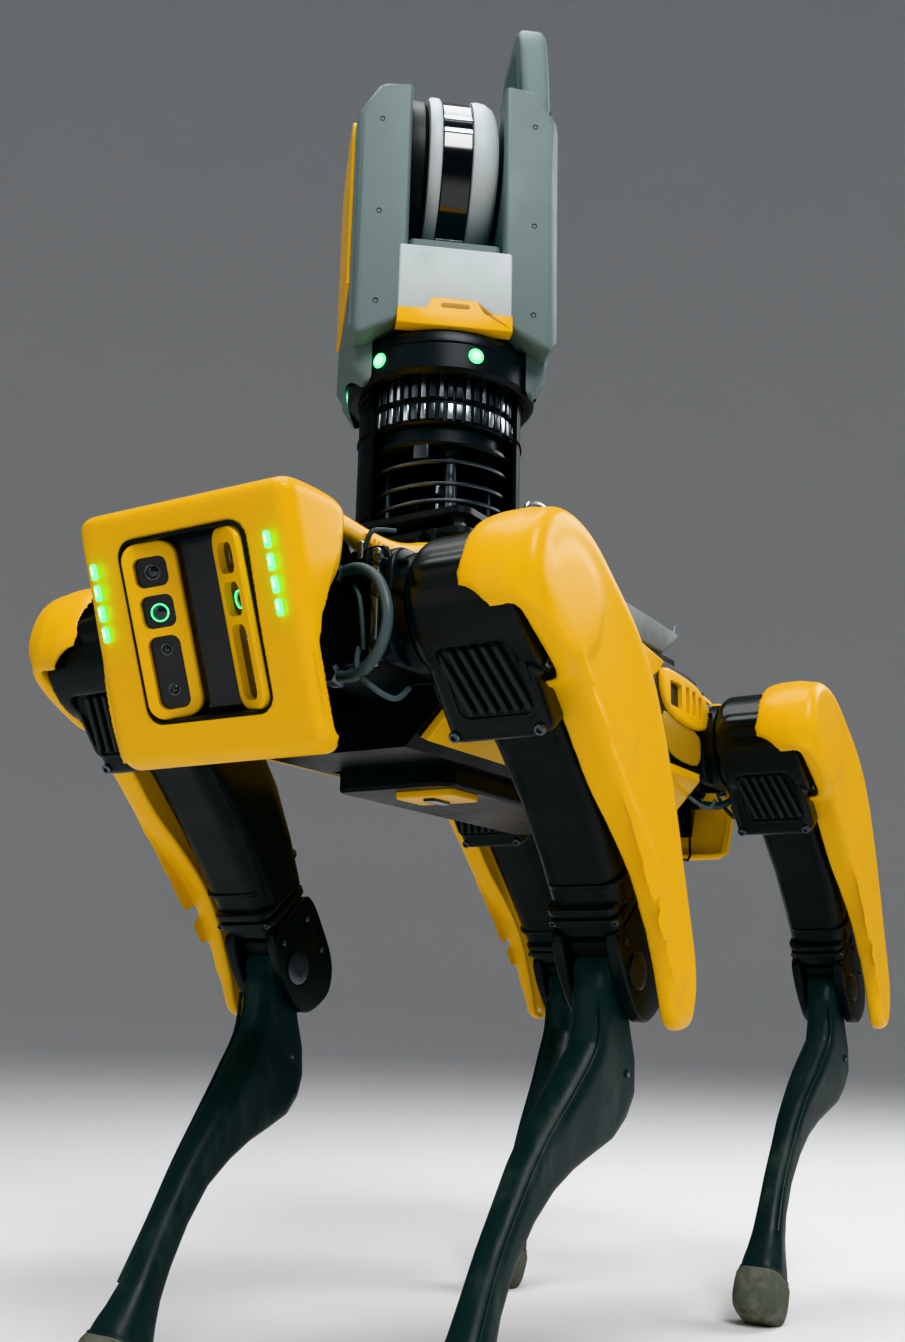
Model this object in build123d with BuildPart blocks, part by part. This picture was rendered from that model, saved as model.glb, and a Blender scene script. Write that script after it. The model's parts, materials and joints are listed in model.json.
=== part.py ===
from build123d import *
import os
from math import cos, radians, sin

os.makedirs("parts", exist_ok=True)

# Quadruped inspection robot carrying a panning laser scanner on a quick-release mount.
#
# Every piece is first drawn in the body frame: the origin is midway between the four hips at the
# height of the hip axes, +X is forward, +Y is the robot's left and +Z is up. keep() then moves it
# to the part frame, whose origin is on the floor under the middle of the bounding box.

# ---- driving dimensions, mm and degrees ----
HIP_X = 297.85           # hip centres ahead of and behind the middle
HIP_Y = 55.0             # abduction axes either side of the middle
LEG_OFFSET = 110.945     # abduction axis to the plane of the leg
THIGH = 320.5            # hip axis to knee axis
SHIN = 358.0             # knee axis to the middle of the foot
FOOT_X = 6.0             # the foot's middle, ahead of the knee axis
FOOT_R = 28.0
HIP_REST = 38.5          # thigh swings back from straight down
KNEE_REST = -70.1        # shin swings forward from the thigh's line
RUNNING = 0.05           # radial clearance of every running fit
BODY_HALF = 118.0        # half width of the mid body
TOP_Z = 97.0             # flat top of the body
BELLY_Z = -92.0
MAST_X = 99.0            # scanner axis
HEAD_YAW = 40.0          # the way the scanner head faces at rest
BODY_AT_X = 61.488         # body origin in the part frame

DRUM_R = 50.0
DRUM_HALF = 36.0
EAR = 6.5
STUB_END = DRUM_HALF + 9
STUB_R = 15.0
HIP_SHAFT_R = 18.0
KNEE_PIN_R = 9.0
CABLE_R = 4.0
RING_R = 88.0            # scanner's fixed base ring
RING_LOW = 272.0
RING_TOP = 314.0
SPINDLE_R = 32.0
BODY_END = HIP_X - STUB_END
LINK_FACE = LEG_OFFSET - DRUM_R - 11
DRUM_AXIS_Z = 502.0      # spin axis of the mirror drum
FACE_LEAN = 21.5         # the front face overhangs by this angle
FACE_NORMAL = (cos(radians(FACE_LEAN)), 0, -sin(radians(FACE_LEAN)))
TAIL_NORMAL = (-FACE_NORMAL[0], 0, FACE_NORMAL[2])
FACE = Plane(origin=(398, 0, -22), x_dir=(0, 1, 0), z_dir=FACE_NORMAL)
TAIL_FACE = Plane(origin=(-398, 0, -22), x_dir=(0, -1, 0), z_dir=TAIL_NORMAL)
BUTTON_R = 9.0
PLATE_HOLES = 130.0      # spacing of the free holes in the upper mast plate
PLATE_HOLE_R = 2.7


def swing(x, z, angle):
    """A point of the leg's plane after a turn about +Y."""
    a = radians(angle)
    return x * cos(a) + z * sin(a), z * cos(a) - x * sin(a)


KNEE_AT = swing(0, -THIGH, HIP_REST)
FOOT_AT = swing(FOOT_X, -SHIN, HIP_REST + KNEE_REST)
HIP_HEIGHT = FOOT_R - KNEE_AT[1] - FOOT_AT[1]

BODY_FRAME = Location((BODY_AT_X, 0, HIP_HEIGHT))
HEAD_FRAME = Location((MAST_X, 0, 0), (0, 0, HEAD_YAW))


def keep(piece, name, frame=Location()):
    """Move a piece from its own frame to the part frame and write it as a named node."""
    with BuildPart() as placed:
        with Locations(BODY_FRAME * frame):
            add(piece)
    placed.part.label = name
    export_step(placed.part, f"parts/{name}.step")


# ---- leg pieces, drawn for a left leg: origin on the hip axis in the plane of the leg, ----
# ---- +X forward, +Y outward, the thigh straight down                                    ----
def hip_link():
    """Yoke that turns about the abduction motor and carries the hip motor."""
    ear_x = DRUM_HALF + 1.5
    with BuildPart() as link:
        for side in (-1, 1):
            with BuildSketch(Plane.YZ.offset(side * ear_x)):
                with Locations((-LEG_OFFSET, 0)):
                    Circle(DRUM_R - 4)
                with BuildLine():
                    Polyline((-LEG_OFFSET, 44), (-50, 34), (-50, -34), (-LEG_OFFSET, -44), close=True)
                make_face()
                with Locations((-LEG_OFFSET, 0)):
                    Circle(STUB_R + RUNNING, mode=Mode.SUBTRACT)
            extrude(amount=side * EAR)
        with BuildSketch(Plane.YZ):
            with Locations((-LINK_FACE - 3.5, 0)):
                Rectangle(7, 74)
        extrude(amount=ear_x + 0.5, both=True)
        with BuildSketch(Plane.XZ.offset(LINK_FACE)):
            Circle(47)
        extrude(amount=4)
        fillet(link.edges().filter_by(Axis.X).group_by(Axis.Y)[-1], 2)
    return link.part


def hip_motor():
    """Motor drum on the link with the shaft that the thigh swings on."""
    with BuildPart() as motor:
        with BuildSketch(Plane.XZ.offset(LINK_FACE)):
            Circle(46)
        extrude(amount=35.5 - LINK_FACE)
        chamfer(motor.edges().group_by(Axis.Y)[0], 2)
        with BuildSketch(Plane.XZ.offset(36)):
            Circle(HIP_SHAFT_R)
        extrude(amount=-57)
    return motor.part


def shell_wall(z):
    """Distance from the leg's plane to the inner face of the shell's outer wall."""
    return 73 - 16 * max(0, -60 - z) / 340


def thigh_frame():
    """Finned motor housing, tapering tube and knee fork."""
    sections = ((-66, -70, 12, -27, 45), (-170, -78, 2, -25, 45), (-262, -60, 6, -25, 38))
    with BuildPart() as frame:
        with BuildSketch(Plane.XZ.offset(34)):
            Circle(54)
        extrude(amount=-92)
        with BuildSketch(Plane.XY.offset(-88)):
            with Locations((1, 8)):
                RectangleRounded(90, 83.8, 10)
        extrude(amount=112)
        for z, x0, x1, y0, y1 in sections:
            with BuildSketch(Plane.XY.offset(z)):
                with Locations(((x0 + x1) / 2, (y0 + y1) / 2)):
                    RectangleRounded(x1 - x0, y1 - y0, 16)
        loft(ruled=False)
        with BuildSketch(Plane.XY.offset(-262)):
            with Locations((-21, 5)):
                RectangleRounded(66, 60, 9)
        extrude(amount=-22)
        for y0, y1 in ((-27, -17), (20, 32)):
            with BuildSketch(Plane.XZ.offset(-y1)):
                with BuildLine():
                    Polyline((-52, -276), (10, -276), (22, -THIGH), (19, -350), (6, -366), (-28, -368),
                             (-50, -340), close=True)
                make_face()
            extrude(amount=y1 - y0)
        for slot in range(6):
            with BuildSketch(Plane.YZ.offset(46)):
                with Locations(Location((-2 + slot * 8.6, -38, 0), (0, 0, 12))):
                    SlotOverall(42, 3.6, rotation=90)
            extrude(amount=3.5)
        for z in (-20, -120, -240):
            with BuildSketch(Plane.XZ.offset(-30)):
                with Locations((-40, z)):
                    Circle(7)
            extrude(amount=30 - shell_wall(z) + 0.5)
        with BuildSketch(Plane.XZ.offset(34)):
            Circle(HIP_SHAFT_R + RUNNING)
        extrude(amount=-56, mode=Mode.SUBTRACT)
        with BuildSketch(Plane.XY.offset(-284)):
            with Locations((-34, 6)):
                Circle(19)
        extrude(amount=176, mode=Mode.SUBTRACT)
        with BuildSketch(Plane.XZ.offset(30)):
            with Locations((0, -THIGH)):
                Circle(KNEE_PIN_R + RUNNING)
        extrude(amount=-66, mode=Mode.SUBTRACT)
    return frame.part


def shell_outline(inset=0):
    """Side view of the thigh shell's side panel, drawn smaller all round by the inset."""
    rear = ((-24, 57), (-56, 26), (-76, -24), (-97, -117), (-78, -231), (-49, -336), (-27, -370 + inset))
    front = ((9, -371 + inset), (19, -356), (8, -320), (-4, -233), (15, -144), (22, -44), (44, 14))
    rear = tuple((x + inset, z) for x, z in rear)
    front = tuple((x - inset, z) for x, z in front)
    with BuildSketch(Plane.XZ) as outline:
        with BuildLine():
            Spline(*rear)
            ThreePointArc(rear[-1], (-7, -380 + inset), front[0])
            Spline(*front)
            ThreePointArc(front[-1], (14 - inset, 61 - inset), rear[0])
        make_face()
    return outline.sketch


def shell_space():
    """Hollow inside the thigh shell's side panel; its outer wall thins towards the tip."""
    with BuildPart() as space:
        extrude(shell_outline(5).moved(Location((0, 40, 0))), amount=-40)
        with BuildSketch(Plane.YZ.offset(120)):
            with BuildLine():
                Polyline((73, 70), (73, -60), (shell_wall(-400), -400), (90, -400), (90, 70), close=True)
            make_face()
        extrude(amount=-260, mode=Mode.SUBTRACT)
    return space.part


def thigh_shell():
    """Yellow impact shell: a dome over the motor housing that runs down the outside of the thigh."""
    with BuildPart() as shell:
        with BuildSketch(Plane.XZ.offset(-2)):
            Circle(64)
        extrude(amount=-76)
        fillet(shell.edges().group_by(Axis.Y)[-1], 16)
        with BuildSketch(Plane.XZ.offset(-1)):
            with BuildLine():
                Polyline((0, 0), (70, 42), (100, 0), (60, -90), (-60, -90), (-100, -30), close=True)
            make_face()
        extrude(amount=-59, mode=Mode.SUBTRACT)
        extrude(shell_outline().moved(Location((0, 50, 0))), amount=-28)
        with BuildSketch(Plane.YZ.offset(120)):
            with BuildLine():
                Polyline((78, -60), (62, -400), (90, -400), (90, -60), close=True)
            make_face()
        extrude(amount=-260, mode=Mode.SUBTRACT)
        with BuildSketch(Plane.XZ.offset(-1)):
            Circle(58.5)
        extrude(amount=-72, mode=Mode.SUBTRACT)
        add(shell_space(), mode=Mode.SUBTRACT)
    return shell.part


def knee_drive():
    """Motor and ball screw inside the thigh, and the knee pin through the fork."""
    with BuildPart() as drive:
        with BuildSketch(Plane.XY.offset(-108)):
            with Locations((-34, 6)):
                Circle(18.9)
        extrude(amount=-70)
        with BuildSketch(Plane.XY.offset(-178)):
            with Locations((-34, 6)):
                Circle(7)
        extrude(amount=-96)
        with BuildSketch(Plane.XY.offset(-236)):
            with Locations((-34, 6)):
                Circle(13)
        extrude(amount=-24)
        with BuildSketch(Plane.XZ.offset(27)):
            with Locations((0, -THIGH)):
                Circle(KNEE_PIN_R)
        extrude(amount=-59)
        for start, rise in ((27, 2.5), (-32, -2.5)):
            with BuildSketch(Plane.XZ.offset(start)):
                with Locations((0, -THIGH)):
                    Circle(13)
            extrude(amount=rise)
    return drive.part


def shin():
    """Lower leg with a calf behind it, origin on the knee axis, drawn straight down."""
    sections = (
        (-24, -44, 12, 30, 1), (-65, -84, -2, 33, 1), (-106, -76, 6, 35, -6), (-150, -40, 16, 30, -11),
        (-200, -12, 23, 26, -14), (-250, -4, 25, 25, -16), (-312, -8, 26, 30, -17), (-340, -16, 28, 38, -17),
    )
    with BuildPart() as lower:
        with BuildSketch(Plane.XZ.offset(16)):
            Circle(20)
            with BuildLine():
                Polyline((20, 0), (14, -30), (-44, -34), (-30, 0), close=True)
            make_face()
        extrude(amount=-34)
        for z, x0, x1, width, y in sections:
            with BuildSketch(Plane.XY.offset(z)):
                with Locations(((x0 + x1) / 2, y)):
                    RectangleRounded(x1 - x0, width, min(x1 - x0, width) * 0.3)
        loft()
        with BuildSketch(Plane.XZ.offset(20)):
            Circle(KNEE_PIN_R + RUNNING)
        extrude(amount=-40, mode=Mode.SUBTRACT)
    return lower.part


def foot():
    """Rubber foot moulded on the end of the shin."""
    with BuildPart() as pad:
        with BuildSketch(Plane.XZ.offset(41)):
            with Locations((FOOT_X, -SHIN)):
                Circle(FOOT_R)
        extrude(amount=-48)
        fillet(pad.edges().filter_by(GeomType.CIRCLE), 12)
        with BuildSketch(Plane.XY.offset(-340)):
            with Locations((FOOT_X, -17)):
                Rectangle(60, 60)
        extrude(amount=40, mode=Mode.SUBTRACT)
    return pad.part


# ---- body pieces ----
def body_section(inset):
    """Cross-section of the mid body; the lower corners leave room for a leg swung inward."""
    w = BODY_HALF - inset
    low = BELLY_Z + inset
    right = ((w, 66 - inset), (w, -42), (w - 34, -76), (w - 44, low))
    left = tuple((-y, z) for y, z in reversed(right))
    with BuildSketch(Plane.YZ) as section:
        with BuildLine():
            Polyline(*right, *left, close=True)
        make_face()
    return section.sketch


def hood_block():
    """Block that fills a hood, set back from its leaning face."""
    with BuildPart() as block:
        with BuildSketch(Plane.XZ.offset(-66)):
            with BuildLine():
                Polyline((348.85, 54), (388, 56), (398, 48), (350, -90), (348.85, -90), close=True)
            make_face()
        extrude(amount=132)
    return block.part


def chassis_frame():
    """Mid body with a battery bay, and at each end a spine and a bulkhead for the abduction motors."""
    with BuildPart() as chassis:
        extrude(body_section(6), amount=BODY_END - 10, both=True)
        with BuildSketch(Plane.XY.offset(-112)):
            Rectangle(330, 118)
        extrude(amount=40, mode=Mode.SUBTRACT)
        for end in (-1, 1):
            with BuildSketch(Plane.YZ.offset(end * (BODY_END - 12))):
                Rectangle(6, 108)
            extrude(amount=end * (2 * STUB_END + 14))
            with BuildSketch(Plane.YZ.offset(end * (HIP_X + STUB_END))):
                RectangleRounded(172, 108, 20)
            extrude(amount=end * 6)
        mirror(hood_block(), about=Plane.YZ)
    return chassis.part


def abduction_motors():
    """Four motor drums along X, each with a stub shaft at both ends."""
    with BuildPart() as motors:
        for end in (-1, 1):
            for side in (-1, 1):
                with BuildSketch(Plane.YZ.offset(end * HIP_X - DRUM_HALF)):
                    with Locations((side * HIP_Y, 0)):
                        Circle(DRUM_R)
                extrude(amount=2 * DRUM_HALF)
                with BuildSketch(Plane.YZ.offset(end * HIP_X - STUB_END)):
                    with Locations((side * HIP_Y, 0)):
                        Circle(STUB_R)
                extrude(amount=2 * STUB_END)
    return motors.part


def hood():
    """End hood, drawn for the front: its face leans forward at the top and its sides are cut back."""
    with BuildPart() as cover:
        with BuildSketch(Plane.XZ.offset(-100)):
            with BuildLine():
                Polyline(
                    (380, 68), (408, 72), (422, 64), (427, 54), (369, -98), (362, -110), (350, -114),
                    (350, -104), (368, -70), (384, -24), (376, 22), close=True,
                )
            make_face()
        extrude(amount=200)
        fillet(cover.faces().sort_by(Axis.X)[-1].edges(), 6)
        with BuildSketch(Plane.XZ.offset(-95)):
            with BuildLine():
                Polyline((340, 64), (404, 66), (416, 58), (420, 52), (363, -94), (357, -105), (340, -108),
                         close=True)
            make_face()
        extrude(amount=190, mode=Mode.SUBTRACT)
    return cover.part


def front_cover():
    """Yellow hood over the sensor module, open behind, with a window in its face."""
    with BuildPart() as cover:
        add(hood())
        with BuildSketch(FACE.offset(-20)):
            RectangleRounded(128, 146, 12)
        extrude(amount=40, mode=Mode.SUBTRACT)
    return cover.part


def rear_cover():
    """Yellow tail hood with a hole for the power button."""
    with BuildPart() as cover:
        mirror(hood(), about=Plane.YZ)
        with BuildSketch(TAIL_FACE.offset(-20)):
            Circle(BUTTON_R + 0.4)
        extrude(amount=40, mode=Mode.SUBTRACT)
    return cover.part


def top_cover():
    """Yellow crowned cover of the mid body with a spine strip that dips towards the front hood."""
    with BuildPart() as cover:
        with BuildSketch(Plane.YZ.offset(-BODY_END - 90)):
            with BuildLine():
                Polyline((-100, 67), (-96, 76), (-58, TOP_Z), (58, TOP_Z), (96, 76), (100, 67), close=True)
            make_face()
        extrude(amount=BODY_END + 290)
        fillet(cover.edges().filter_by(Axis.X).group_by(Axis.Z)[-1], 8)
        with BuildSketch(Plane.YZ.offset(-BODY_END - 86)):
            with BuildLine():
                Polyline((-100, 60), (-92, 72), (-55, 92), (55, 92), (92, 72), (100, 60), close=True)
            make_face()
        extrude(amount=BODY_END + 282, mode=Mode.SUBTRACT)
        with BuildSketch(Plane.XZ.offset(-56)):
            with BuildLine():
                Spline((196, TOP_Z), (250, 82), (300, 82), (352, 92), tangents=((1, 0), (1, 0.1)))
                Line((352, 92), (352, 68))
                Spline((352, 68), (300, 64), (250, 66), (196, 74), tangents=((-1, 0), (-1, 0.1)))
                Line((196, 74), (196, TOP_Z))
            make_face()
        extrude(amount=112)
        with BuildSketch(Plane.XY.offset(40)):
            with Locations((-BODY_END - 45, 0)):
                Rectangle(92, 130)
                Rectangle(92, 400)
        extrude(amount=36, mode=Mode.SUBTRACT)
    return cover.part


def side_panels():
    """Black panels that close the sides of the mid body."""
    with BuildPart() as panel:
        with BuildSketch(Plane.XZ.offset(-BODY_HALF + 6)):
            with BuildLine():
                Polyline((-240, 60), (-240, -38), (240, -38), (240, 60), (210, 66), (-210, 66), close=True)
            make_face()
        extrude(amount=-6)
        fillet(panel.edges().group_by(Axis.Y)[-1], 1.5)
        mirror(about=Plane.XZ)
    return panel.part


def lower_trim():
    """Yellow strips along the lower corners of the body, and the battery's pull latch."""
    with BuildPart() as trim:
        for side in (-1, 1):
            with BuildSketch(Plane.YZ.offset(-238)):
                with BuildLine():
                    Polyline(
                        (side * 112, -42), (side * 118, -38.5), (side * 118, -44),
                        (side * 84, -79), (side * 78, -76), close=True,
                    )
                make_face()
            extrude(amount=476)
        with BuildSketch(Plane.XY.offset(-104)):
            with Locations((122, 22)):
                RectangleRounded(46, 60, 6)
        extrude(amount=-5)
    return trim.part


def vent_grilles():
    """Yellow intake grilles with four slots, one each side near the rear hips."""
    with BuildPart() as vents:
        for side in (-1, 1):
            with BuildSketch(Plane.XZ.offset(-side * BODY_HALF)):
                with Locations((-186, 34)):
                    RectangleRounded(92, 46, 10)
            extrude(amount=-side * 5)
            for slot in range(4):
                with BuildSketch(Plane.XZ.offset(-side * (BODY_HALF + 1.5))):
                    with Locations((-213 + 18 * slot, 34)):
                        SlotOverall(30, 9, rotation=90)
                extrude(amount=-side * 5, mode=Mode.SUBTRACT)
    return vents.part


def battery_pack():
    """Battery that drops out of the belly, with a pull latch."""
    with BuildPart() as pack:
        with BuildSketch(Plane.XY.offset(-104)):
            RectangleRounded(328, 116, 14)
        extrude(amount=31)
        fillet(pack.edges().group_by(Axis.Z)[0], 4)
    return pack.part


def sensor_module():
    """Camera and computer block inside the front hood, with a flat black face."""
    with BuildPart() as module:
        add(hood_block())
        with BuildSketch(FACE.offset(-24)):
            RectangleRounded(120, 140, 8)
        extrude(amount=14)
    return module.part


def sensor_bezels():
    """Two yellow frames of three openings, toed inward."""
    with BuildPart() as bezels:
        for side in (-1, 1):
            with BuildSketch(FACE.offset(-9.8)):
                with Locations((side * 38, 0)):
                    RectangleRounded(34, 128, 9)
                for height, tall in ((42, 24), (12, 24), (-33, 52)):
                    with Locations((side * 38, height)):
                        RectangleRounded(22, tall, 5, mode=Mode.SUBTRACT)
            extrude(amount=8)
    return bezels.part


def camera_lenses():
    """Ringed lenses in the bezels and one camera in each side panel."""
    with BuildPart() as lenses:
        for side in (-1, 1):
            for height, radius in ((42, 7), (12, 8.5), (-20, 3), (-46, 3)):
                with BuildSketch(FACE.offset(-9.8)):
                    with Locations((side * 38, height)):
                        Circle(radius)
                extrude(amount=3.5)
            with BuildSketch(Plane.XZ.offset(-side * BODY_HALF)):
                with Locations((60, 20)):
                    RectangleRounded(74, 26, 9)
            extrude(amount=-side * 2.5)
    return lenses.part


def status_lights():
    """Light strips in the hood and six lamps round the scanner's base ring."""
    with BuildPart() as lights:
        for side in (-1, 1):
            for lamp in range(4):
                with BuildSketch(FACE.offset(3)):
                    with Locations((side * 82, 44 - 19 * lamp)):
                        RectangleRounded(6, 14, 2)
                extrude(amount=3.4)
        for turn in range(6):
            azimuth = radians(-7 + 60 * turn)
            outward = Vector(cos(azimuth), sin(azimuth), 0)
            with BuildSketch(Plane(origin=Vector(MAST_X, 0, 291) + outward * RING_R, z_dir=outward)):
                Circle(6)
            extrude(amount=1.5)
    return lights.part


def hip_cables():
    """Four round cable loops, one in front of or behind each abduction motor, gland to gland."""
    with BuildPart() as cables:
        for end in (-1, 1):
            for side in (-1, 1):
                with BuildLine() as route:
                    ThreePointArc((end * 347, side * 74, 22), (end * 360, side * 122, -14),
                                  (end * 347, side * 74, -50))
                start = route.wires()[0] @ 0
                along = route.wires()[0] % 0
                with BuildSketch(Plane(origin=start, z_dir=along)):
                    Circle(CABLE_R)
                sweep(path=route.wires()[0])
    return cables.part


def payload_rails():
    """Two slotted mounting rails along the back."""
    with BuildPart() as rails:
        for side in (-1, 1):
            with BuildSketch(Plane.XY.offset(TOP_Z)):
                with Locations((-70, side * 46)):
                    Rectangle(520, 20)
            extrude(amount=15)
            with BuildSketch(Plane.YZ.offset(-330)):
                with Locations((side * 46, TOP_Z + 12.5)):
                    Rectangle(6, 5)
                with Locations((side * 46, TOP_Z + 7)):
                    Rectangle(12, 6)
            extrude(amount=520, mode=Mode.SUBTRACT)
    return rails.part


def mount_plates():
    """Two stacked base plates under the mast."""
    with BuildPart() as plates:
        for height in (112, 130):
            with BuildSketch(Plane.XY.offset(height)):
                with Locations((MAST_X, 0)):
                    RectangleRounded(150, 150, 14)
            extrude(amount=6)
        with BuildSketch(Plane.XY.offset(137)):
            with Locations((MAST_X, 0)):
                with GridLocations(PLATE_HOLES, PLATE_HOLES, 2, 2):
                    Circle(PLATE_HOLE_R)
        extrude(amount=-8, mode=Mode.SUBTRACT)
    return plates.part


def mount_posts():
    """Spacers between the plates and the posts that carry the neck."""
    with BuildPart() as posts:
        for height, reach, radius, rise in ((118, 60, 7, 12), (136, 34, 6, 69)):
            with BuildSketch(Plane.XY.offset(height)):
                with Locations((MAST_X, 0)):
                    with GridLocations(2 * reach, 2 * reach, 2, 2):
                        Circle(radius)
            extrude(amount=rise)
    return posts.part


def wire_coil():
    """Three open turns of stiff wire round the posts."""
    with BuildPart() as coil:
        with BuildLine(Plane.XY.offset(140)) as path:
            Helix(pitch=18, height=54, radius=64, center=(MAST_X, 0, 0))
        with BuildSketch(Plane(origin=path.line @ 0, z_dir=path.line % 0)):
            Circle(1.9)
        sweep(path=path.line, is_frenet=True)
    return coil.part


def mount_guard():
    """Half-round guard behind the posts."""
    with BuildPart() as guard:
        with BuildSketch(Plane.XY.offset(136)):
            with Locations((MAST_X, 0)):
                Circle(76)
                Circle(72.5, mode=Mode.SUBTRACT)
                with Locations(Location((60, 39, 0), (0, 0, HEAD_YAW - 8))):
                    Rectangle(120, 170, mode=Mode.SUBTRACT)
        extrude(amount=135)
    return guard.part


def mount_neck():
    """Flange and sleeve on the posts; the collar turns on it and the base ring stands on it."""
    with BuildPart() as neck:
        for height, radius, rise in ((205, 68, 6), (211, 62, 13), (224, 56, 48)):
            with BuildSketch(Plane.XY.offset(height)):
                with Locations((MAST_X, 0)):
                    Circle(radius)
            extrude(amount=rise)
    return neck.part


def locking_collar():
    """Ribbed ring that locks the scanner's base to the neck."""
    with BuildPart() as collar:
        with BuildSketch(Plane.XY.offset(225)):
            with Locations((MAST_X, 0)):
                Circle(71)
                Circle(56 + RUNNING, mode=Mode.SUBTRACT)
        extrude(amount=46)
        with BuildSketch(Plane.XY.offset(225)):
            with Locations((MAST_X, 0)):
                with PolarLocations(71.6, 36):
                    Rectangle(2.4, 6)
        extrude(amount=46, mode=Mode.SUBTRACT)
    return collar.part


def payload_computer():
    """Black computer box behind the mast."""
    with BuildPart() as box:
        with BuildSketch(Plane.XZ.offset(-60)):
            with BuildLine():
                Polyline((18, 112), (18, 184), (-34, 190), (-96, 158), (-108, 112), close=True)
            make_face()
        extrude(amount=120)
        fillet(box.edges().filter_by(Axis.Y).group_by(Axis.Z)[-1], 10)
    return box.part


def payload_wedge():
    """Grey ribbed cover that tapers to the tail."""
    with BuildPart() as wedge:
        with BuildSketch(Plane.XZ.offset(-60)):
            with BuildLine():
                Polyline((-112, 112), (-112, 138), (-185, 147), (-338, 145), (-338, 139), (-300, 112),
                         close=True)
            make_face()
        extrude(amount=120)
    return wedge.part


def scanner_base_ring():
    """Fixed ring that the head pans on."""
    with BuildPart() as ring:
        with BuildSketch(Plane.XY.offset(RING_LOW)):
            Circle(RING_R - 6)
        extrude(amount=8)
        with BuildSketch(Plane.XY.offset(RING_LOW + 8)):
            Circle(RING_R)
        extrude(amount=RING_TOP - RING_LOW - 8)
        fillet(ring.edges().group_by(Axis.Z)[-1], 4)
        with BuildSketch(Plane.XY.offset(RING_TOP)):
            Circle(SPINDLE_R + RUNNING)
        extrude(amount=-30, mode=Mode.SUBTRACT)
    return ring.part


def scanner_chassis():
    """Lower block of the head between the towers, with the pan spindle."""
    with BuildPart() as block:
        with BuildSketch(Plane.XY.offset(RING_TOP + 1)):
            RectangleRounded(150, 86, 6)
        extrude(amount=85)
        with BuildSketch(Plane.XY.offset(RING_TOP + 1)):
            Circle(SPINDLE_R)
        extrude(amount=-28)
    return block.part


def scanner_tower(side, top):
    """Grey tower beside the mirror drum, its outer corners bevelled and its foot cut round the ring."""
    with BuildPart() as tower:
        with BuildSketch(Plane.YZ.offset(-83)):
            with BuildLine():
                Polyline(
                    (side * 43.5, 316), (side * 66, 300), (side * 80, 264), (side * 95, 300),
                    (side * 95, top - 30), (side * 78, top), (side * 43.5, top), close=True,
                )
            make_face()
        extrude(amount=166)
        chamfer(tower.edges().filter_by(Axis.Z).group_by(SortBy.DISTANCE)[-1], 14)
        with BuildSketch(Plane.XY.offset(RING_TOP + 1)):
            Circle(RING_R + 2)
        extrude(amount=-60, mode=Mode.SUBTRACT)
        with BuildSketch(Plane.XZ.offset(-side * 43)):
            with Locations((0, DRUM_AXIS_Z)):
                Circle(15 + RUNNING)
        extrude(amount=-side * 12, mode=Mode.SUBTRACT)
    return tower.part


def scanner_left_tower():
    """Tower with the upright carrying handle on top."""
    with BuildPart() as tower:
        add(scanner_tower(1, 564))
        with BuildSketch(Plane.XZ.offset(-56)):
            with BuildLine():
                Polyline((-60, 564), (60, 564), (52, 644), (34, 668), (-34, 668), (-52, 644), close=True)
            make_face()
            with BuildLine():
                Polyline((-40, 574), (40, 574), (34, 636), (24, 650), (-24, 650), (-34, 636), close=True)
            make_face(mode=Mode.SUBTRACT)
        extrude(amount=-22)
    return tower.part


def scanner_front_panel():
    """Light front and rear panels between the towers."""
    with BuildPart() as panel:
        for side in (-1, 1):
            with BuildSketch(Plane.YZ.offset(side * 75)):
                with Locations((0, 352.5)):
                    RectangleRounded(86.6, 73, 3)
            extrude(amount=side * 7)
    return panel.part


def scanner_trim():
    """Yellow strip under the front panel with a raised middle tab, and the yellow outer side panel."""
    with BuildPart() as trim:
        with BuildSketch(Plane.YZ.offset(82)):
            with BuildLine():
                Polyline((-43, 317), (43, 317), (43, 326), (20, 326), (15, 335), (-15, 335), (-20, 326),
                         (-43, 326), close=True)
            make_face()
        extrude(amount=2)
        with BuildSketch(Plane.XZ.offset(95)):
            with Locations((0, 430)):
                RectangleRounded(112, 170, 16)
        extrude(amount=3)
    return trim.part


def mirror_drum():
    """Spinning drum between the towers, two rings on a common shaft."""
    with BuildPart() as drum:
        for start, rise in ((42, -22), (-20, -22)):
            with BuildSketch(Plane.XZ.offset(start)):
                with Locations((0, DRUM_AXIS_Z)):
                    Circle(82)
            extrude(amount=rise)
        fillet(drum.edges().filter_by(GeomType.CIRCLE).group_by(Axis.Y)[0], 5)
        fillet(drum.edges().filter_by(GeomType.CIRCLE).group_by(Axis.Y)[-1], 5)
        with BuildSketch(Plane.XZ.offset(21)):
            with Locations((0, DRUM_AXIS_Z)):
                Circle(70)
        extrude(amount=-42)
        with BuildSketch(Plane.XZ.offset(52)):
            with Locations((0, DRUM_AXIS_Z)):
                Circle(15)
        extrude(amount=-104)
    return drum.part


def mirror_window():
    """Dark glass band round the drum."""
    with BuildPart() as window:
        with BuildSketch(Plane.XZ.offset(20)):
            with Locations((0, DRUM_AXIS_Z)):
                Circle(80)
                Circle(70, mode=Mode.SUBTRACT)
        extrude(amount=-40)
    return window.part


def power_button():
    """Round power button in the tail hood."""
    with BuildPart() as button:
        with BuildSketch(TAIL_FACE.offset(-9)):
            Circle(BUTTON_R)
        extrude(amount=13)
    return button.part


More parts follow.
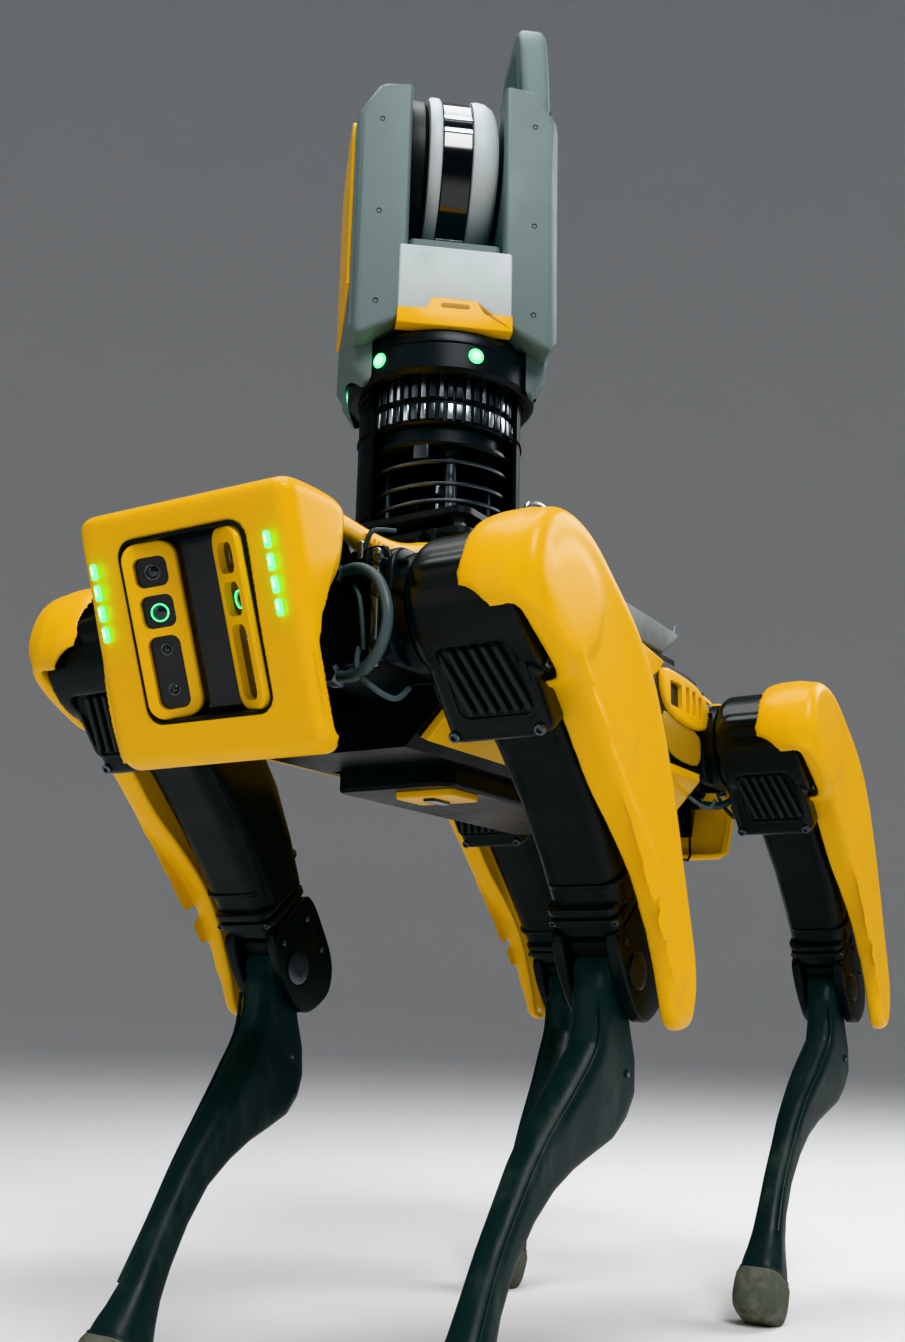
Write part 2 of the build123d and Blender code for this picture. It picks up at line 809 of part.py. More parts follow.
LEG_PIECES = {
    "hip_link": hip_link(),
    "hip_motor": hip_motor(),
    "thigh_frame": thigh_frame(),
    "thigh_shell": thigh_shell(),
    "knee_drive": knee_drive(),
    "shin": shin(),
    "foot": foot(),
}
AT_HIP = Location((0, HIP_Y + LEG_OFFSET, 0))
AT_THIGH = AT_HIP * Location((0, 0, 0), (0, HIP_REST, 0))
AT_SHIN = AT_THIGH * Location((0, 0, -THIGH), (0, KNEE_REST, 0))
LEG_FRAMES = {"hip_link": AT_HIP, "hip_motor": AT_HIP, "shin": AT_SHIN, "foot": AT_SHIN}

for end_name, end in (("front", 1), ("rear", -1)):
    for side_name in ("left", "right"):
        hip = Location((end * HIP_X, 0, 0))
        for piece_name, piece in LEG_PIECES.items():
            placed = piece.moved(LEG_FRAMES.get(piece_name, AT_THIGH))
            if side_name == "right":
                placed = mirror(placed, about=Plane.XZ, mode=Mode.PRIVATE)
            keep(placed, f"{end_name}_{side_name}_{piece_name}", hip)

keep(chassis_frame(), "chassis_frame")
keep(abduction_motors(), "abduction_motors")
keep(front_cover(), "front_cover")
keep(rear_cover(), "rear_cover")
keep(top_cover(), "top_cover")
keep(side_panels(), "side_panels")
keep(lower_trim(), "lower_trim")
keep(vent_grilles(), "vent_grilles")
keep(battery_pack(), "battery_pack")
keep(sensor_module(), "sensor_module")
keep(sensor_bezels(), "sensor_bezels")
keep(camera_lenses(), "camera_lenses")
keep(status_lights(), "status_lights")
keep(hip_cables(), "hip_cables")
keep(power_button(), "power_button")
keep(payload_rails(), "payload_rails")
keep(mount_plates(), "mount_plates")
keep(mount_posts(), "mount_posts")
keep(wire_coil(), "wire_coil")
keep(mount_guard(), "mount_guard")
keep(mount_neck(), "mount_neck")
keep(locking_collar(), "locking_collar")
keep(payload_computer(), "payload_computer")
keep(payload_wedge(), "payload_wedge")
keep(scanner_base_ring(), "scanner_base_ring", Location((MAST_X, 0, 0)))
keep(scanner_chassis(), "scanner_chassis", HEAD_FRAME)
keep(scanner_left_tower(), "scanner_left_tower", HEAD_FRAME)
keep(scanner_tower(-1, 556), "scanner_right_tower", HEAD_FRAME)
keep(scanner_front_panel(), "scanner_front_panel", HEAD_FRAME)
keep(scanner_trim(), "scanner_trim", HEAD_FRAME)
keep(mirror_drum(), "mirror_drum", HEAD_FRAME)
keep(mirror_window(), "mirror_window", HEAD_FRAME)
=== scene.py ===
import bmesh
import bpy
from math import cos, pi, radians, sin, sqrt
from mathutils import Matrix, Vector
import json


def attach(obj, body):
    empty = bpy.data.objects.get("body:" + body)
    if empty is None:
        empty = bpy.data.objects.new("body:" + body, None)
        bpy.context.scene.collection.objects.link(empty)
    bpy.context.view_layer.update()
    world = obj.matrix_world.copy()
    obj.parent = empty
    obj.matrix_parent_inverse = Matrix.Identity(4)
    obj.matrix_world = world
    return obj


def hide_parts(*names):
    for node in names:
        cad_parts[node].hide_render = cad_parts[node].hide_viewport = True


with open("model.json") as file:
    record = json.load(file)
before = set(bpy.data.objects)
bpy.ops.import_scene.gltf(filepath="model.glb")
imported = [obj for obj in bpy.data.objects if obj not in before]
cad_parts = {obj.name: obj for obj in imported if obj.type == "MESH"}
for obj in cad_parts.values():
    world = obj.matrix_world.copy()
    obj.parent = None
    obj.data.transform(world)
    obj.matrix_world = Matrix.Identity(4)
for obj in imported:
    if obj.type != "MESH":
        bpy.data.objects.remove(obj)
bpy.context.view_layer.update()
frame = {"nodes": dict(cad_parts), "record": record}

# ---- driving dimensions, mm and degrees, in the body frame: midway between the hips ----
BODY_AT_X = 61.488       # that frame's origin in the part frame
HIP_HEIGHT = 580.6
HIP_X = 297.85
LEG_Y = 165.945          # plane of each leg
THIGH = 320.5            # hip axis to knee axis
HIP_REST = 38.5
KNEE_REST = -70.1
FACE_LEAN = 21.5         # the front face overhangs by this angle
FACE_X, FACE_Z = 413, -22
MAST_X = 99
HEAD_YAW = 40
DRUM_Z = 502             # the mirror drum's spin axis

# ---- camera, floor and lights ----
yaw, pitch, roll = radians(211.83), radians(13.525), radians(1.385)
ahead = Vector((cos(pitch) * cos(yaw), cos(pitch) * sin(yaw), sin(pitch)))
level = ahead.cross(Vector((0, 0, 1))).normalized()
upward = level.cross(ahead)
right_dir = cos(roll) * level + sin(roll) * upward
up_dir = cos(roll) * upward - sin(roll) * level
pose = Matrix((right_dir, up_dir, -ahead)).transposed().to_4x4()
pose.translation = (1.1850, 0.6565, 0.3012)
camera = bpy.data.objects.new("camera", bpy.data.cameras.new("camera"))
camera.data.lens = 37.1
camera.data.sensor_width = 36
camera.data.clip_end = 60
bpy.context.scene.collection.objects.link(camera)
bpy.context.scene.camera = camera
camera.matrix_world = pose


def look(name, colour, rough, metal=0.0, coat=0.0, dirt=None, cover=0.0, scale=12.0, grain=0.02, glow=0.0,
         stretch=(1, 1, 1)):
    """Procedural finish: a plain colour with patchy dirt, uneven roughness and a fine grain."""
    mat = bpy.data.materials.new(name)
    mat.use_nodes = True
    nodes, links = mat.node_tree.nodes, mat.node_tree.links
    shader = nodes["Principled BSDF"]
    shader.inputs["Base Color"].default_value = (*colour, 1)
    shader.inputs["Roughness"].default_value = rough
    shader.inputs["Metallic"].default_value = metal
    shader.inputs["Coat Weight"].default_value = coat
    shader.inputs["Specular IOR Level"].default_value = 0.3
    shader.inputs["Coat Roughness"].default_value = 0.12
    if glow:
        shader.inputs["Emission Color"].default_value = (*colour, 1)
        shader.inputs["Emission Strength"].default_value = glow
    spot = nodes.new("ShaderNodeTexCoord")
    turn = nodes.new("ShaderNodeMapping")
    turn.inputs["Scale"].default_value = stretch
    links.new(spot.outputs["Object"], turn.inputs["Vector"])
    patch = nodes.new("ShaderNodeTexNoise")
    patch.inputs["Scale"].default_value = scale
    patch.inputs["Detail"].default_value = 9
    patch.inputs["Roughness"].default_value = 0.65
    links.new(turn.outputs["Vector"], patch.inputs["Vector"])
    if dirt:
        ramp = nodes.new("ShaderNodeValToRGB")
        ramp.color_ramp.elements[0].position = 0.62 - 0.3 * cover
        ramp.color_ramp.elements[1].position = 0.78 - 0.14 * cover
        top = 0.35 + 0.65 * cover
        ramp.color_ramp.elements[1].color = (top, top, top, 1)
        links.new(patch.outputs["Fac"], ramp.inputs["Fac"])
        mix = nodes.new("ShaderNodeMix")
        mix.data_type = "RGBA"
        mix.inputs[6].default_value = (*colour, 1)
        mix.inputs[7].default_value = (*dirt, 1)
        links.new(ramp.outputs["Color"], mix.inputs[0])
        links.new(mix.outputs[2], shader.inputs["Base Color"])
    spread = nodes.new("ShaderNodeMapRange")
    spread.inputs["From Min"].default_value = 0.3
    spread.inputs["From Max"].default_value = 0.75
    spread.inputs["To Min"].default_value = rough * 0.85
    spread.inputs["To Max"].default_value = min(1.0, rough * 1.3 + 0.02)
    links.new(patch.outputs["Fac"], spread.inputs["Value"])
    links.new(spread.outputs["Result"], shader.inputs["Roughness"])
    fine = nodes.new("ShaderNodeTexNoise")
    fine.inputs["Scale"].default_value = 420
    fine.inputs["Detail"].default_value = 3
    links.new(spot.outputs["Object"], fine.inputs["Vector"])
    bump = nodes.new("ShaderNodeBump")
    bump.inputs["Strength"].default_value = grain
    bump.inputs["Distance"].default_value = 0.001
    links.new(fine.outputs["Fac"], bump.inputs["Height"])
    links.new(bump.outputs["Normal"], shader.inputs["Normal"])
    return mat


LOOKS = {
    "yellow": look("yellow", (0.80, 0.42, 0.006), 0.36, coat=0.12, dirt=(0.42, 0.24, 0.06), cover=0.12,
                   scale=9),
    "yellow_dark": look("yellow_dark", (0.40, 0.22, 0.02), 0.45, dirt=(0.2, 0.12, 0.04), cover=0.2),
    "black_shell": look("black_shell", (0.005, 0.007, 0.007), 0.42, dirt=(0.025, 0.03, 0.03), cover=0.15),
    "gloss_black": look("gloss_black", (0.006, 0.008, 0.009), 0.12, coat=0.6),
    "motor_black": look("motor_black", (0.006, 0.009, 0.009), 0.38, dirt=(0.03, 0.038, 0.037), cover=0.15),
    "leg_black": look("leg_black", (0.005, 0.008, 0.008), 0.33, coat=0.12, dirt=(0.025, 0.034, 0.033),
                      cover=0.15),
    "fin_grey": look("fin_grey", (0.03, 0.035, 0.035), 0.45, dirt=(0.1, 0.11, 0.11), cover=0.2),
    "shin_black": look("shin_black", (0.012, 0.023, 0.023), 0.42, dirt=(0.085, 0.11, 0.10), cover=0.34,
                       scale=26,
                       stretch=(1, 1, 0.35), grain=0.06),
    "foot_rubber": look("foot_rubber", (0.10, 0.11, 0.088), 0.8, dirt=(0.26, 0.26, 0.21), cover=0.5,
                        scale=38,
                        grain=0.25),
    "black_metal": look("black_metal", (0.018, 0.022, 0.024), 0.36, metal=0.4, dirt=(0.07, 0.08, 0.08),
                        cover=0.15),
    "dark_steel": look("dark_steel", (0.11, 0.125, 0.135), 0.3, metal=0.9, dirt=(0.3, 0.32, 0.33),
                       cover=0.2),
    "bright_steel": look("bright_steel", (0.56, 0.6, 0.61), 0.26, metal=0.95, dirt=(0.3, 0.32, 0.32),
                         cover=0.3),
    "cable_grey": look("cable_grey", (0.075, 0.10, 0.105), 0.42, dirt=(0.16, 0.19, 0.19), cover=0.2),
    "lens_glass": look("lens_glass", (0.01, 0.016, 0.022), 0.05, coat=1.0),
    "green_light": look("green_light", (0.06, 1.0, 0.36), 0.3, glow=3.2),
    "green_core": look("green_core", (0.62, 1.0, 0.8), 0.3, glow=4.0),
    "scanner_grey": look("scanner_grey", (0.135, 0.185, 0.187), 0.5, dirt=(0.2, 0.25, 0.25), cover=0.18,
                         scale=6),
    "panel_grey": look("panel_grey", (0.43, 0.47, 0.475), 0.45, dirt=(0.3, 0.34, 0.34), cover=0.12),
    "dark_glass": look("dark_glass", (0.004, 0.005, 0.006), 0.06, coat=1.0),
    "wedge_grey": look("wedge_grey", (0.17, 0.20, 0.205), 0.5, dirt=(0.08, 0.09, 0.09), cover=0.3),
    "camera_blue": look("camera_blue", (0.10, 0.13, 0.18), 0.15, coat=0.8),
}
record = frame["record"]
NODE_SLOT = {row["node"]: row["material_slot"] for row in record["subparts"]}
for node, shape in frame["nodes"].items():
    shape.data.materials.clear()
    shape.data.materials.append(LOOKS[NODE_SLOT[node]])


# ---- mesh tools; lengths in millimetres until a piece is placed ----
AXES = {"x": (1, 2, 0), "y": (0, 2, 1), "z": (0, 1, 2)}


def at(axis, u, v, w):
    """Point at height w along the axis, with u and v across it."""
    p = [0, 0, 0]
    for place, value in zip(AXES[axis], (u, v, w)):
        p[place] = value
    return Vector(p)


def rect(cu, cv, w, h, r, n=5):
    """Rounded rectangle, counter-clockwise."""
    pts = []
    for k, (su, sv) in enumerate(((1, 1), (-1, 1), (-1, -1), (1, -1))):
        for i in range(n + 1):
            a = radians(90) * (k + i / n)
            pts.append((cu + su * (w / 2 - r) + r * cos(a), cv + sv * (h / 2 - r) + r * sin(a)))
    return pts


def curve(pts, n=6, closed=True):
    """Catmull-Rom curve through points of any dimension."""
    pts = [Vector(p) for p in pts]
    out = []
    count = len(pts)
    for i in range(count if closed else count - 1):
        if closed:
            p0, p1, p2, p3 = pts[i - 1], pts[i], pts[(i + 1) % count], pts[(i + 2) % count]
        else:
            p0, p1, p2, p3 = pts[max(i - 1, 0)], pts[i], pts[i + 1], pts[min(i + 2, count - 1)]
        for k in range(n):
            t = k / n
            out.append(0.5 * (2 * p1 + (p2 - p0) * t + (2 * p0 - 5 * p1 + 4 * p2 - p3) * t ** 2
                              + (3 * p1 - p0 - 3 * p2 + p3) * t ** 3))
    if not closed:
        out.append(pts[-1])
    return [tuple(p) for p in out]


def skin(rings, caps=True, closed=False):
    """Surface through rings that have the same number of points."""
    bm = bmesh.new()
    rows = [[bm.verts.new(p) for p in ring] for ring in rings]
    n = len(rows[0])
    pairs = list(zip(rows, rows[1:])) + ([(rows[-1], rows[0])] if closed else [])
    for a, b in pairs:
        for i in range(n):
            j = (i + 1) % n
            bm.faces.new((a[i], a[j], b[j], b[i]))
    if caps and not closed:
        bmesh.ops.triangulate(bm, faces=[bm.faces.new(rows[0][::-1]), bm.faces.new(rows[-1])])
    bmesh.ops.recalc_face_normals(bm, faces=bm.faces)
    return bm


def shrink(pts, d):
    """Outline moved inward by d."""
    if not d:
        return list(pts)
    n = len(pts)
    area = sum(pts[i - 1][0] * pts[i][1] - pts[i][0] * pts[i - 1][1] for i in range(n))
    s = 1 if area > 0 else -1
    out = []
    for i in range(n):
        ax, ay = pts[i - 1]
        bx, by = pts[(i + 1) % n]
        dx, dy = bx - ax, by - ay
        length = sqrt(dx * dx + dy * dy) or 1
        out.append((pts[i][0] - s * dy / length * d, pts[i][1] + s * dx / length * d))
    return out


def slab(pts, axis, low, high, r=0.0, r_low=None, steps=4, rows=1, bend=None):
    """Extruded outline whose end edges are rounded by r; bend moves each (u, v, w)."""
    r_low = r if r_low is None else r_low
    rings = []
    for end, radius in ((low, r_low), (high, r)):
        ring = []
        for k in range(steps + 1 if radius else 1):
            a = radians(90) * k / steps
            inset, back = radius * (1 - sin(a)), radius * (1 - cos(a))
            ring.append((inset, end + back if end == low else end - back))
        rings.append(ring)
    ladder = rings[0] + [(0, low + r_low + (high - r - low - r_low) * k / rows)
                         for k in range(1, rows)] + rings[1][::-1]
    shape = []
    for inset, w in ladder:
        row = [(u, v, w) for u, v in shrink(pts, inset)]
        shape.append([at(axis, *(bend(*p) if bend else p)) for p in row])
    return skin(shape)


def lathe(profile, axis, cu=0.0, cv=0.0, n=56):
    """Solid of revolution about a line along the axis; profile of (radius, height)."""
    rings = []
    for r, w in profile:
        rings.append([at(axis, cu + max(r, 0.01) * cos(2 * pi * i / n),
                         cv + max(r, 0.01) * sin(2 * pi * i / n), w)
                      for i in range(n)])
    return skin(rings)


def bolt(axis, u, v, w, r, h, sides=24):
    """Cap screw with a socket, standing h high from w."""
    return lathe([(r, w), (r, w + h * 0.75), (r * 0.86, w + h), (r * 0.5, w + h), (r * 0.45, w + h * 0.4),
                  (0, w + h * 0.4)],
                 axis, u, v, sides)


def pipe(path, r, n=12, closed=False):
    """Round tube along a path."""
    path = [Vector(p) for p in path]
    rings, side = [], None
    count = len(path)
    for i, p in enumerate(path):
        a = path[i - 1] if i or closed else p
        b = path[(i + 1) % count] if i < count - 1 or closed else p
        along = (b - a).normalized()
        if side is None:
            side = along.orthogonal().normalized()
        side = (side - side.dot(along) * along).normalized()
        other = along.cross(side)
        rings.append([p + r * (cos(2 * pi * k / n) * side + sin(2 * pi * k / n) * other) for k in range(n)])
    return skin(rings, closed=closed)


def join(*parts):
    """One mesh of several, each kept as it is."""
    whole = bmesh.new()
    for bm in parts:
        mesh = bpy.data.meshes.new("part")
        bm.to_mesh(mesh)
        whole.from_mesh(mesh)
        bpy.data.meshes.remove(mesh)
    return whole


def thing(bm):
    """Scratch object for the modifiers."""
    mesh = bpy.data.meshes.new("scratch")
    bm.to_mesh(mesh)
    item = bpy.data.objects.new("scratch", mesh)
    bpy.context.scene.collection.objects.link(item)
    return item


def worked(bm, merge=(), cut=(), voxel=0.0, smooth=0, keep=1.0):
    """Booleans, then an even remesh, smoothing and thinning."""
    items = [thing(bm)]
    base = items[0]
    for kind, group in (("UNION", merge), ("DIFFERENCE", cut)):
        for other in group:
            tool = thing(other)
            items.append(tool)
            mod = base.modifiers.new("bool", "BOOLEAN")
            mod.operation = kind
            mod.object = tool
            mod.solver = "MANIFOLD"
    if voxel:
        mod = base.modifiers.new("even", "REMESH")
        mod.mode = "VOXEL"
        mod.voxel_size = voxel
    if smooth:
        mod = base.modifiers.new("soft", "SMOOTH")
        mod.factor = 0.5
        mod.iterations = smooth
    if keep < 1:
        mod = base.modifiers.new("thin", "DECIMATE")
        mod.ratio = keep
    graph = bpy.context.evaluated_depsgraph_get()
    mesh = bpy.data.meshes.new_from_object(base.evaluated_get(graph))
    out = bmesh.new()
    out.from_mesh(mesh)
    for item in items:
        data = item.data
        bpy.data.objects.remove(item)
        bpy.data.meshes.remove(data)
    bpy.data.meshes.remove(mesh)
    return out


TO_METRES = Matrix.Scale(0.001, 4) @ Matrix.Translation((BODY_AT_X, 0, HIP_HEIGHT))


def piece(name, body, layers, where=Matrix(), hides=()):
    """One visible piece made of (finish, mesh) layers, drawn in a local frame of the body."""
    whole = bmesh.new()
    mesh = bpy.data.meshes.new(name)
    for index, (finish, bm) in enumerate(layers):
        part = bpy.data.meshes.new("part")
        bm.to_mesh(part)
        before = len(whole.faces)
        whole.from_mesh(part)
        bpy.data.meshes.remove(part)
        whole.faces.ensure_lookup_table()
        for face in whole.faces[before:]:
            face.material_index = index
            face.smooth = True
        mesh.materials.append(LOOKS[finish])
    full = TO_METRES @ where
    whole.transform(full)
    if full.determinant() < 0:
        bmesh.ops.reverse_faces(whole, faces=whole.faces)
    for edge in whole.edges:
        edge.smooth = len(edge.link_faces) != 2 or edge.calc_face_angle(0) < 0.62
    whole.to_mesh(mesh)
    shape = bpy.data.objects.new(name, mesh)
    bpy.context.scene.collection.objects.link(shape)
    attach(shape, body)
    if hides:
        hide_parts(*hides)
    return shape


# ---- stage ----
def stage_mesh():
    """Round pale floor that curves up into a tall wall."""
    rings = []
    for r, z in ((0.01, 0), (1, 0), (3, 0), (5, 0), (7, 0), (9, 0.3), (10.5, 1), (11.5, 2.4), (12, 4.5),
                 (12, 30)):
        rings.append([Vector((r * cos(2 * pi * i / 96), r * sin(2 * pi * i / 96), z)) for i in range(96)])
    return skin(rings, caps=False)


floor_mesh = bpy.data.meshes.new("floor")
stage_mesh().to_mesh(floor_mesh)
floor_mesh.materials.append(look("floor_paper", (0.80, 0.80, 0.80), 0.8))
for polygon in floor_mesh.polygons:
    polygon.use_smooth = True
floor = bpy.data.objects.new("floor", floor_mesh)
bpy.context.scene.collection.objects.link(floor)
world = bpy.data.worlds.new("studio")
world.use_nodes = True
world.node_tree.nodes["Background"].inputs["Color"].default_value = (0.9, 0.95, 1.0, 1)
world.node_tree.nodes["Background"].inputs["Strength"].default_value = 0.42
bpy.context.scene.world = world
bpy.context.scene.view_settings.view_transform = "Khronos PBR Neutral"
for name, place, size, power in (
    ("key", (1.6, 1.9, 3.0), 1.5, 95), ("fill", (2.8, -1.0, 1.2), 2.0, 14),
    ("back", (-2.4, 1.4, 2.4), 1.5, 55),
    ("top", (0.2, -0.4, 3.6), 2.0, 60),
):
    data = bpy.data.lights.new(name, "AREA")
    data.size = size
    data.energy = power
    lamp = bpy.data.objects.new(name, data)
    bpy.context.scene.collection.objects.link(lamp)
    lamp.location = place
    lamp.rotation_mode = "QUATERNION"
    lamp.rotation_quaternion = (Vector((0, 0, 0.6)) - Vector(place)).to_track_quat("-Z", "Y")


# ---- legs: x forward, y outward, z up along the straight thigh, from the hip axis ----
def thigh_shell():
    """Yellow cover: a dome over the hip drum, run into a long panel, hollow inside and open below."""
    outline = curve((
        (-24, 57), (-56, 26), (-76, -24), (-91, -75), (-97, -117), (-91, -175), (-78, -231), (-63, -285),
        (-49, -336), (-38, -358), (-27, -370), (-8, -379), (9, -371), (17, -362), (18, -350), (8, -320),
        (-2, -275), (-4, -233), (5, -185), (15, -144), (20, -90), (25, -46), (36, -14), (49, 14), (45, 40),
        (14, 61)), 4)

    def taper(u, v, w):
        return u, v, w - max(0.0, (w - 44) / 34) * 16 * max(0.0, -60 - v) / 320

    dome = lathe(((0, 1.5), (34, 1.5), (48, 4), (57, 11), (62, 21), (64, 33), (64, 54), (61, 65), (54, 73),
                  (44, 77.2), (30, 78.1), (0, 78.1)), "y")
    panel = slab(outline, "y", 44, 78.2, r=11, r_low=2, steps=6, rows=3, bend=taper)
    hollow = lathe(((0, -4), (54, -4), (54, 6), (58.5, 7), (58.5, 56), (56, 60), (0, 60)), "y")
    inner = slab(shrink(outline, 6), "y", 30, 71, r=12, r_low=0, rows=3, bend=taper)
    rings = []
    for y, drop in ((-8, 0), (12, 0), (22, 1.5), (30, 6), (37, 14), (42, 27), (45, 45), (46.5, 80),
                    (47, 420)):
        brim = ((-130, -50), (-50, -14), (-4, 6), (22, 16), (52, 36), (130, 84))
        rings.append([Vector((u, y, v - drop)) for u, v in brim]
                     + [Vector((130, y, -560)), Vector((-130, y, -560))])
    front = curve(((66, 46), (60, 30), (54, 12), (45, -12), (36, -36), (29, -62), (27, -96), (34, -150)), 4,
                  closed=False)
    lobe = slab(list(front) + [(130, -150), (130, 60)], "y", -20, 90)
    return worked(dome, merge=(panel,), cut=(hollow, inner, skin(rings), lobe), voxel=1.8, smooth=30,
                  keep=0.4)


def thigh_body():
    """Motor drum, finned housing and the long beam down to the knee."""
    drum = lathe(((0, -34), (44, -34), (51, -31), (54, -25), (54, 57), (0, 58)), "y")
    box = slab(rect(1, 8, 91, 84, 11), "z", -88, 22, r=7)
    sections = ((-40, -46, 30, -30, 46), (-70, -68, 20, -27, 45), (-110, -77, 9, -26, 45),
                (-170, -79, 3, -25, 45),
                (-220, -70, 4, -25, 42), (-262, -59, 7, -25, 38))
    rings = []
    for z, x0, x1, y0, y1 in sections:
        rings.append([Vector((u, v, z)) for u, v in rect((x0 + x1) / 2, (y0 + y1) / 2, x1 - x0, y1 - y0,
                                                         16)])
    bulge = slab(rect(12, 8, 60, 74, 14), "z", 10, 50, r=14)
    pocket = slab(rect(14, -38, 60, 60, 8), "x", 44.5, 60)
    return worked(drum, merge=(box, skin(rings), bulge), cut=(pocket,), voxel=2.0, smooth=3, keep=0.5)


def thigh_details():
    """Cooling fins, screws, seams, the flanged neck and the knee fork."""
    fins = []
    for k in range(6):
        y0, z0 = -17.5 + 9.4 * k, -14
        y1, z1 = -6.5 + 9.4 * k, -62
        outline = []
        for j in range(9):
            a = pi * j / 8
            outline.append((y0 + 2.4 * cos(a), z0 + 2.4 * sin(a)))
        for j in range(9):
            a = pi + pi * j / 8
            outline.append((y1 + 2.4 * cos(a), z1 + 2.4 * sin(a)))
        fins.append(slab(outline, "x", 43, 49, r=1.6))
    rim = slab(rect(14, -38, 68, 66, 11), "x", 44, 47.2, r=1.4)
    rim = worked(rim, cut=(slab(rect(14, -38, 60, 58, 8), "x", 40, 60),))
    screws = [bolt("x", y, z, 45.5, 4.6, 3) for y, z in ((-27, 12), (43, 12), (-27, -80), (43, -80))]
    seam = pipe(curve(((44, -31, 24), (46.6, -18, 22), (47, 8, 21.5), (46.6, 34, 22), (43, 48, 25)), 5,
                      closed=False), 1.1, 8)
    side_screws = [bolt("y", u, v, 57.5, 4, 2.4) for u, v in ((-36, -36), (34, -36))]
    flanges = [slab(rect(-21, 5, 67, 61, 10), "z", z, z + 7.5, r=1.6) for z in (-272, -262)]
    neck = slab(rect(-21, 5, 60, 54, 8), "z", -282, -254, r=1)
    collar = [slab(rect(-32, 10, 78, 66, 15), "z", -240, -236, r=1.2)]
    cheeks = []
    outline = curve(((-52, -278), (-20, -276), (10, -278), (19, -300), (21, -321), (20, -345), (12, -362),
                     (-6, -369), (-28, -368), (-46, -350), (-53, -318)), 4)
    for y0, y1 in ((-27, -17), (20, 32)):
        cheeks.append(slab(outline, "y", y0, y1, r=2.4))
    screws_low = [bolt("x", y, z, 9, 3, 2.4) for y, z in ((-22, -268), (32, -268))]
    studs = []
    for y, s in ((-27, -1), (32, 1)):
        for u, v in ((-36, -292), (-38, -328), (4, -290)):
            flip = [(2.8, y), (2.8, y + s * 1.4), (1.6, y + s * 1.8), (0, y + s * 1.2)]
            studs.append(lathe(flip, "y", u, v, 18))
        studs.append(lathe([(15, y), (15, y + s * 1.8), (12.5, y + s * 2.6), (6, y + s * 2.6),
                            (5, y + s * 1.4), (0, y + s * 1.4)], "y", 0, -THIGH, 36))
    block = slab(curve(((-48, -284), (2, -284), (8, -300), (-8, -330), (-40, -330)), 3), "y", -16, 19, r=4)
    return [
        ("fin_grey", join(*fins)),
        ("leg_black", join(rim, seam, neck, *flanges, *collar, *cheeks)),
        ("dark_steel", join(*screws, *side_screws, *screws_low, *studs)),
        ("black_shell", block),
    ]


def shin_body():
    """Lofted lower leg, origin on the knee axis; sections of (z, x from, x to, width, middle y)."""
    sections = (
        (14, -14, 14, 26, 1), (4, -22, 20, 32, 1), (-10, -34, 20, 33, 1), (-26, -48, 17, 33, 1),
        (-44, -70, 7, 33, 1), (-65, -84, 1, 33, 0), (-85, -84, 4, 35, -3), (-106, -76, 8, 36, -6),
        (-128, -58, 12, 34, -9), (-150, -40, 17, 31, -11), (-175, -24, 21, 29, -13),
        (-205, -11, 24, 27, -14), (-240, -5, 26, 26, -16), (-275, -5, 26, 27, -17), (-300, -8, 26, 31, -17),
        (-318, -13, 28, 36, -17), (-332, -18, 31, 41, -17), (-342, -20, 32, 43, -17),
    )
    rings = []
    for z, x0, x1, width, y in sections:
        r = min(x1 - x0, width) * 0.42
        rings.append([Vector((u, v, z)) for u, v in rect((x0 + x1) / 2, y, x1 - x0, width, r, 6)])
    hub = lathe(((0, -16), (18, -16), (20, -14), (20, 17), (18, 19), (0, 19)), "y", 0, 0, 40)
    bore = lathe(((0, -30), (9.2, -30), (9.2, 30), (0, 30)), "y", 0, 0, 32)
    return worked(skin(rings), merge=(hub,), cut=(bore,), voxel=1.8, smooth=6, keep=0.5)


def shin_details():
    """Edge line down the front, lip over the ankle and rivets by the knee."""
    line = []
    for z, x, y in ((-34, 13, 14), (-65, -1, 14), (-106, 4, 9), (-150, 13, 2), (-200, 19.5, -2),
                    (-250, 22, -5), (-300, 22, -4)):
        line.append((x - 1.2, y, z))
    ridge = pipe(curve(line, 5, closed=False), 1.8, 8)
    lip = slab(rect(6, -17, 53, 44, 17), "z", -342.5, -339, r=1.4)
    pads = [lathe(((0, y), (3.4, y), (3.4, y + s), (2, y + 1.6 * s), (0, y + 1.6 * s)), "y", -52, -60, 20)
            for y, s in ((17, 1), (-15, -1))]
    return [("shin_black", join(ridge, lip)), ("dark_steel", join(*pads))]


def foot_pad():
    """Rounded rubber block with treads, origin on the knee axis."""
    rings = []
    for z, w, d in ((-340, 50, 42), (-346, 55, 47), (-356, 56, 48), (-368, 56, 48), (-377, 52, 45),
                    (-383, 42, 37), (-386, 22, 20)):
        rings.append([Vector((u, v, z)) for u, v in rect(6, -17, w, d, min(w, d) * 0.34, 6)])
    treads = []
    for k in range(-3, 4):
        x = 6 + 6.6 * k
        z = -384.6 + 0.55 * k * k
        treads.append(slab(rect(x, z, 3.4, 3, 1), "y", -32, -2, r=1))
    return join(worked(skin(rings), voxel=1.8, smooth=4, keep=0.5), *treads)


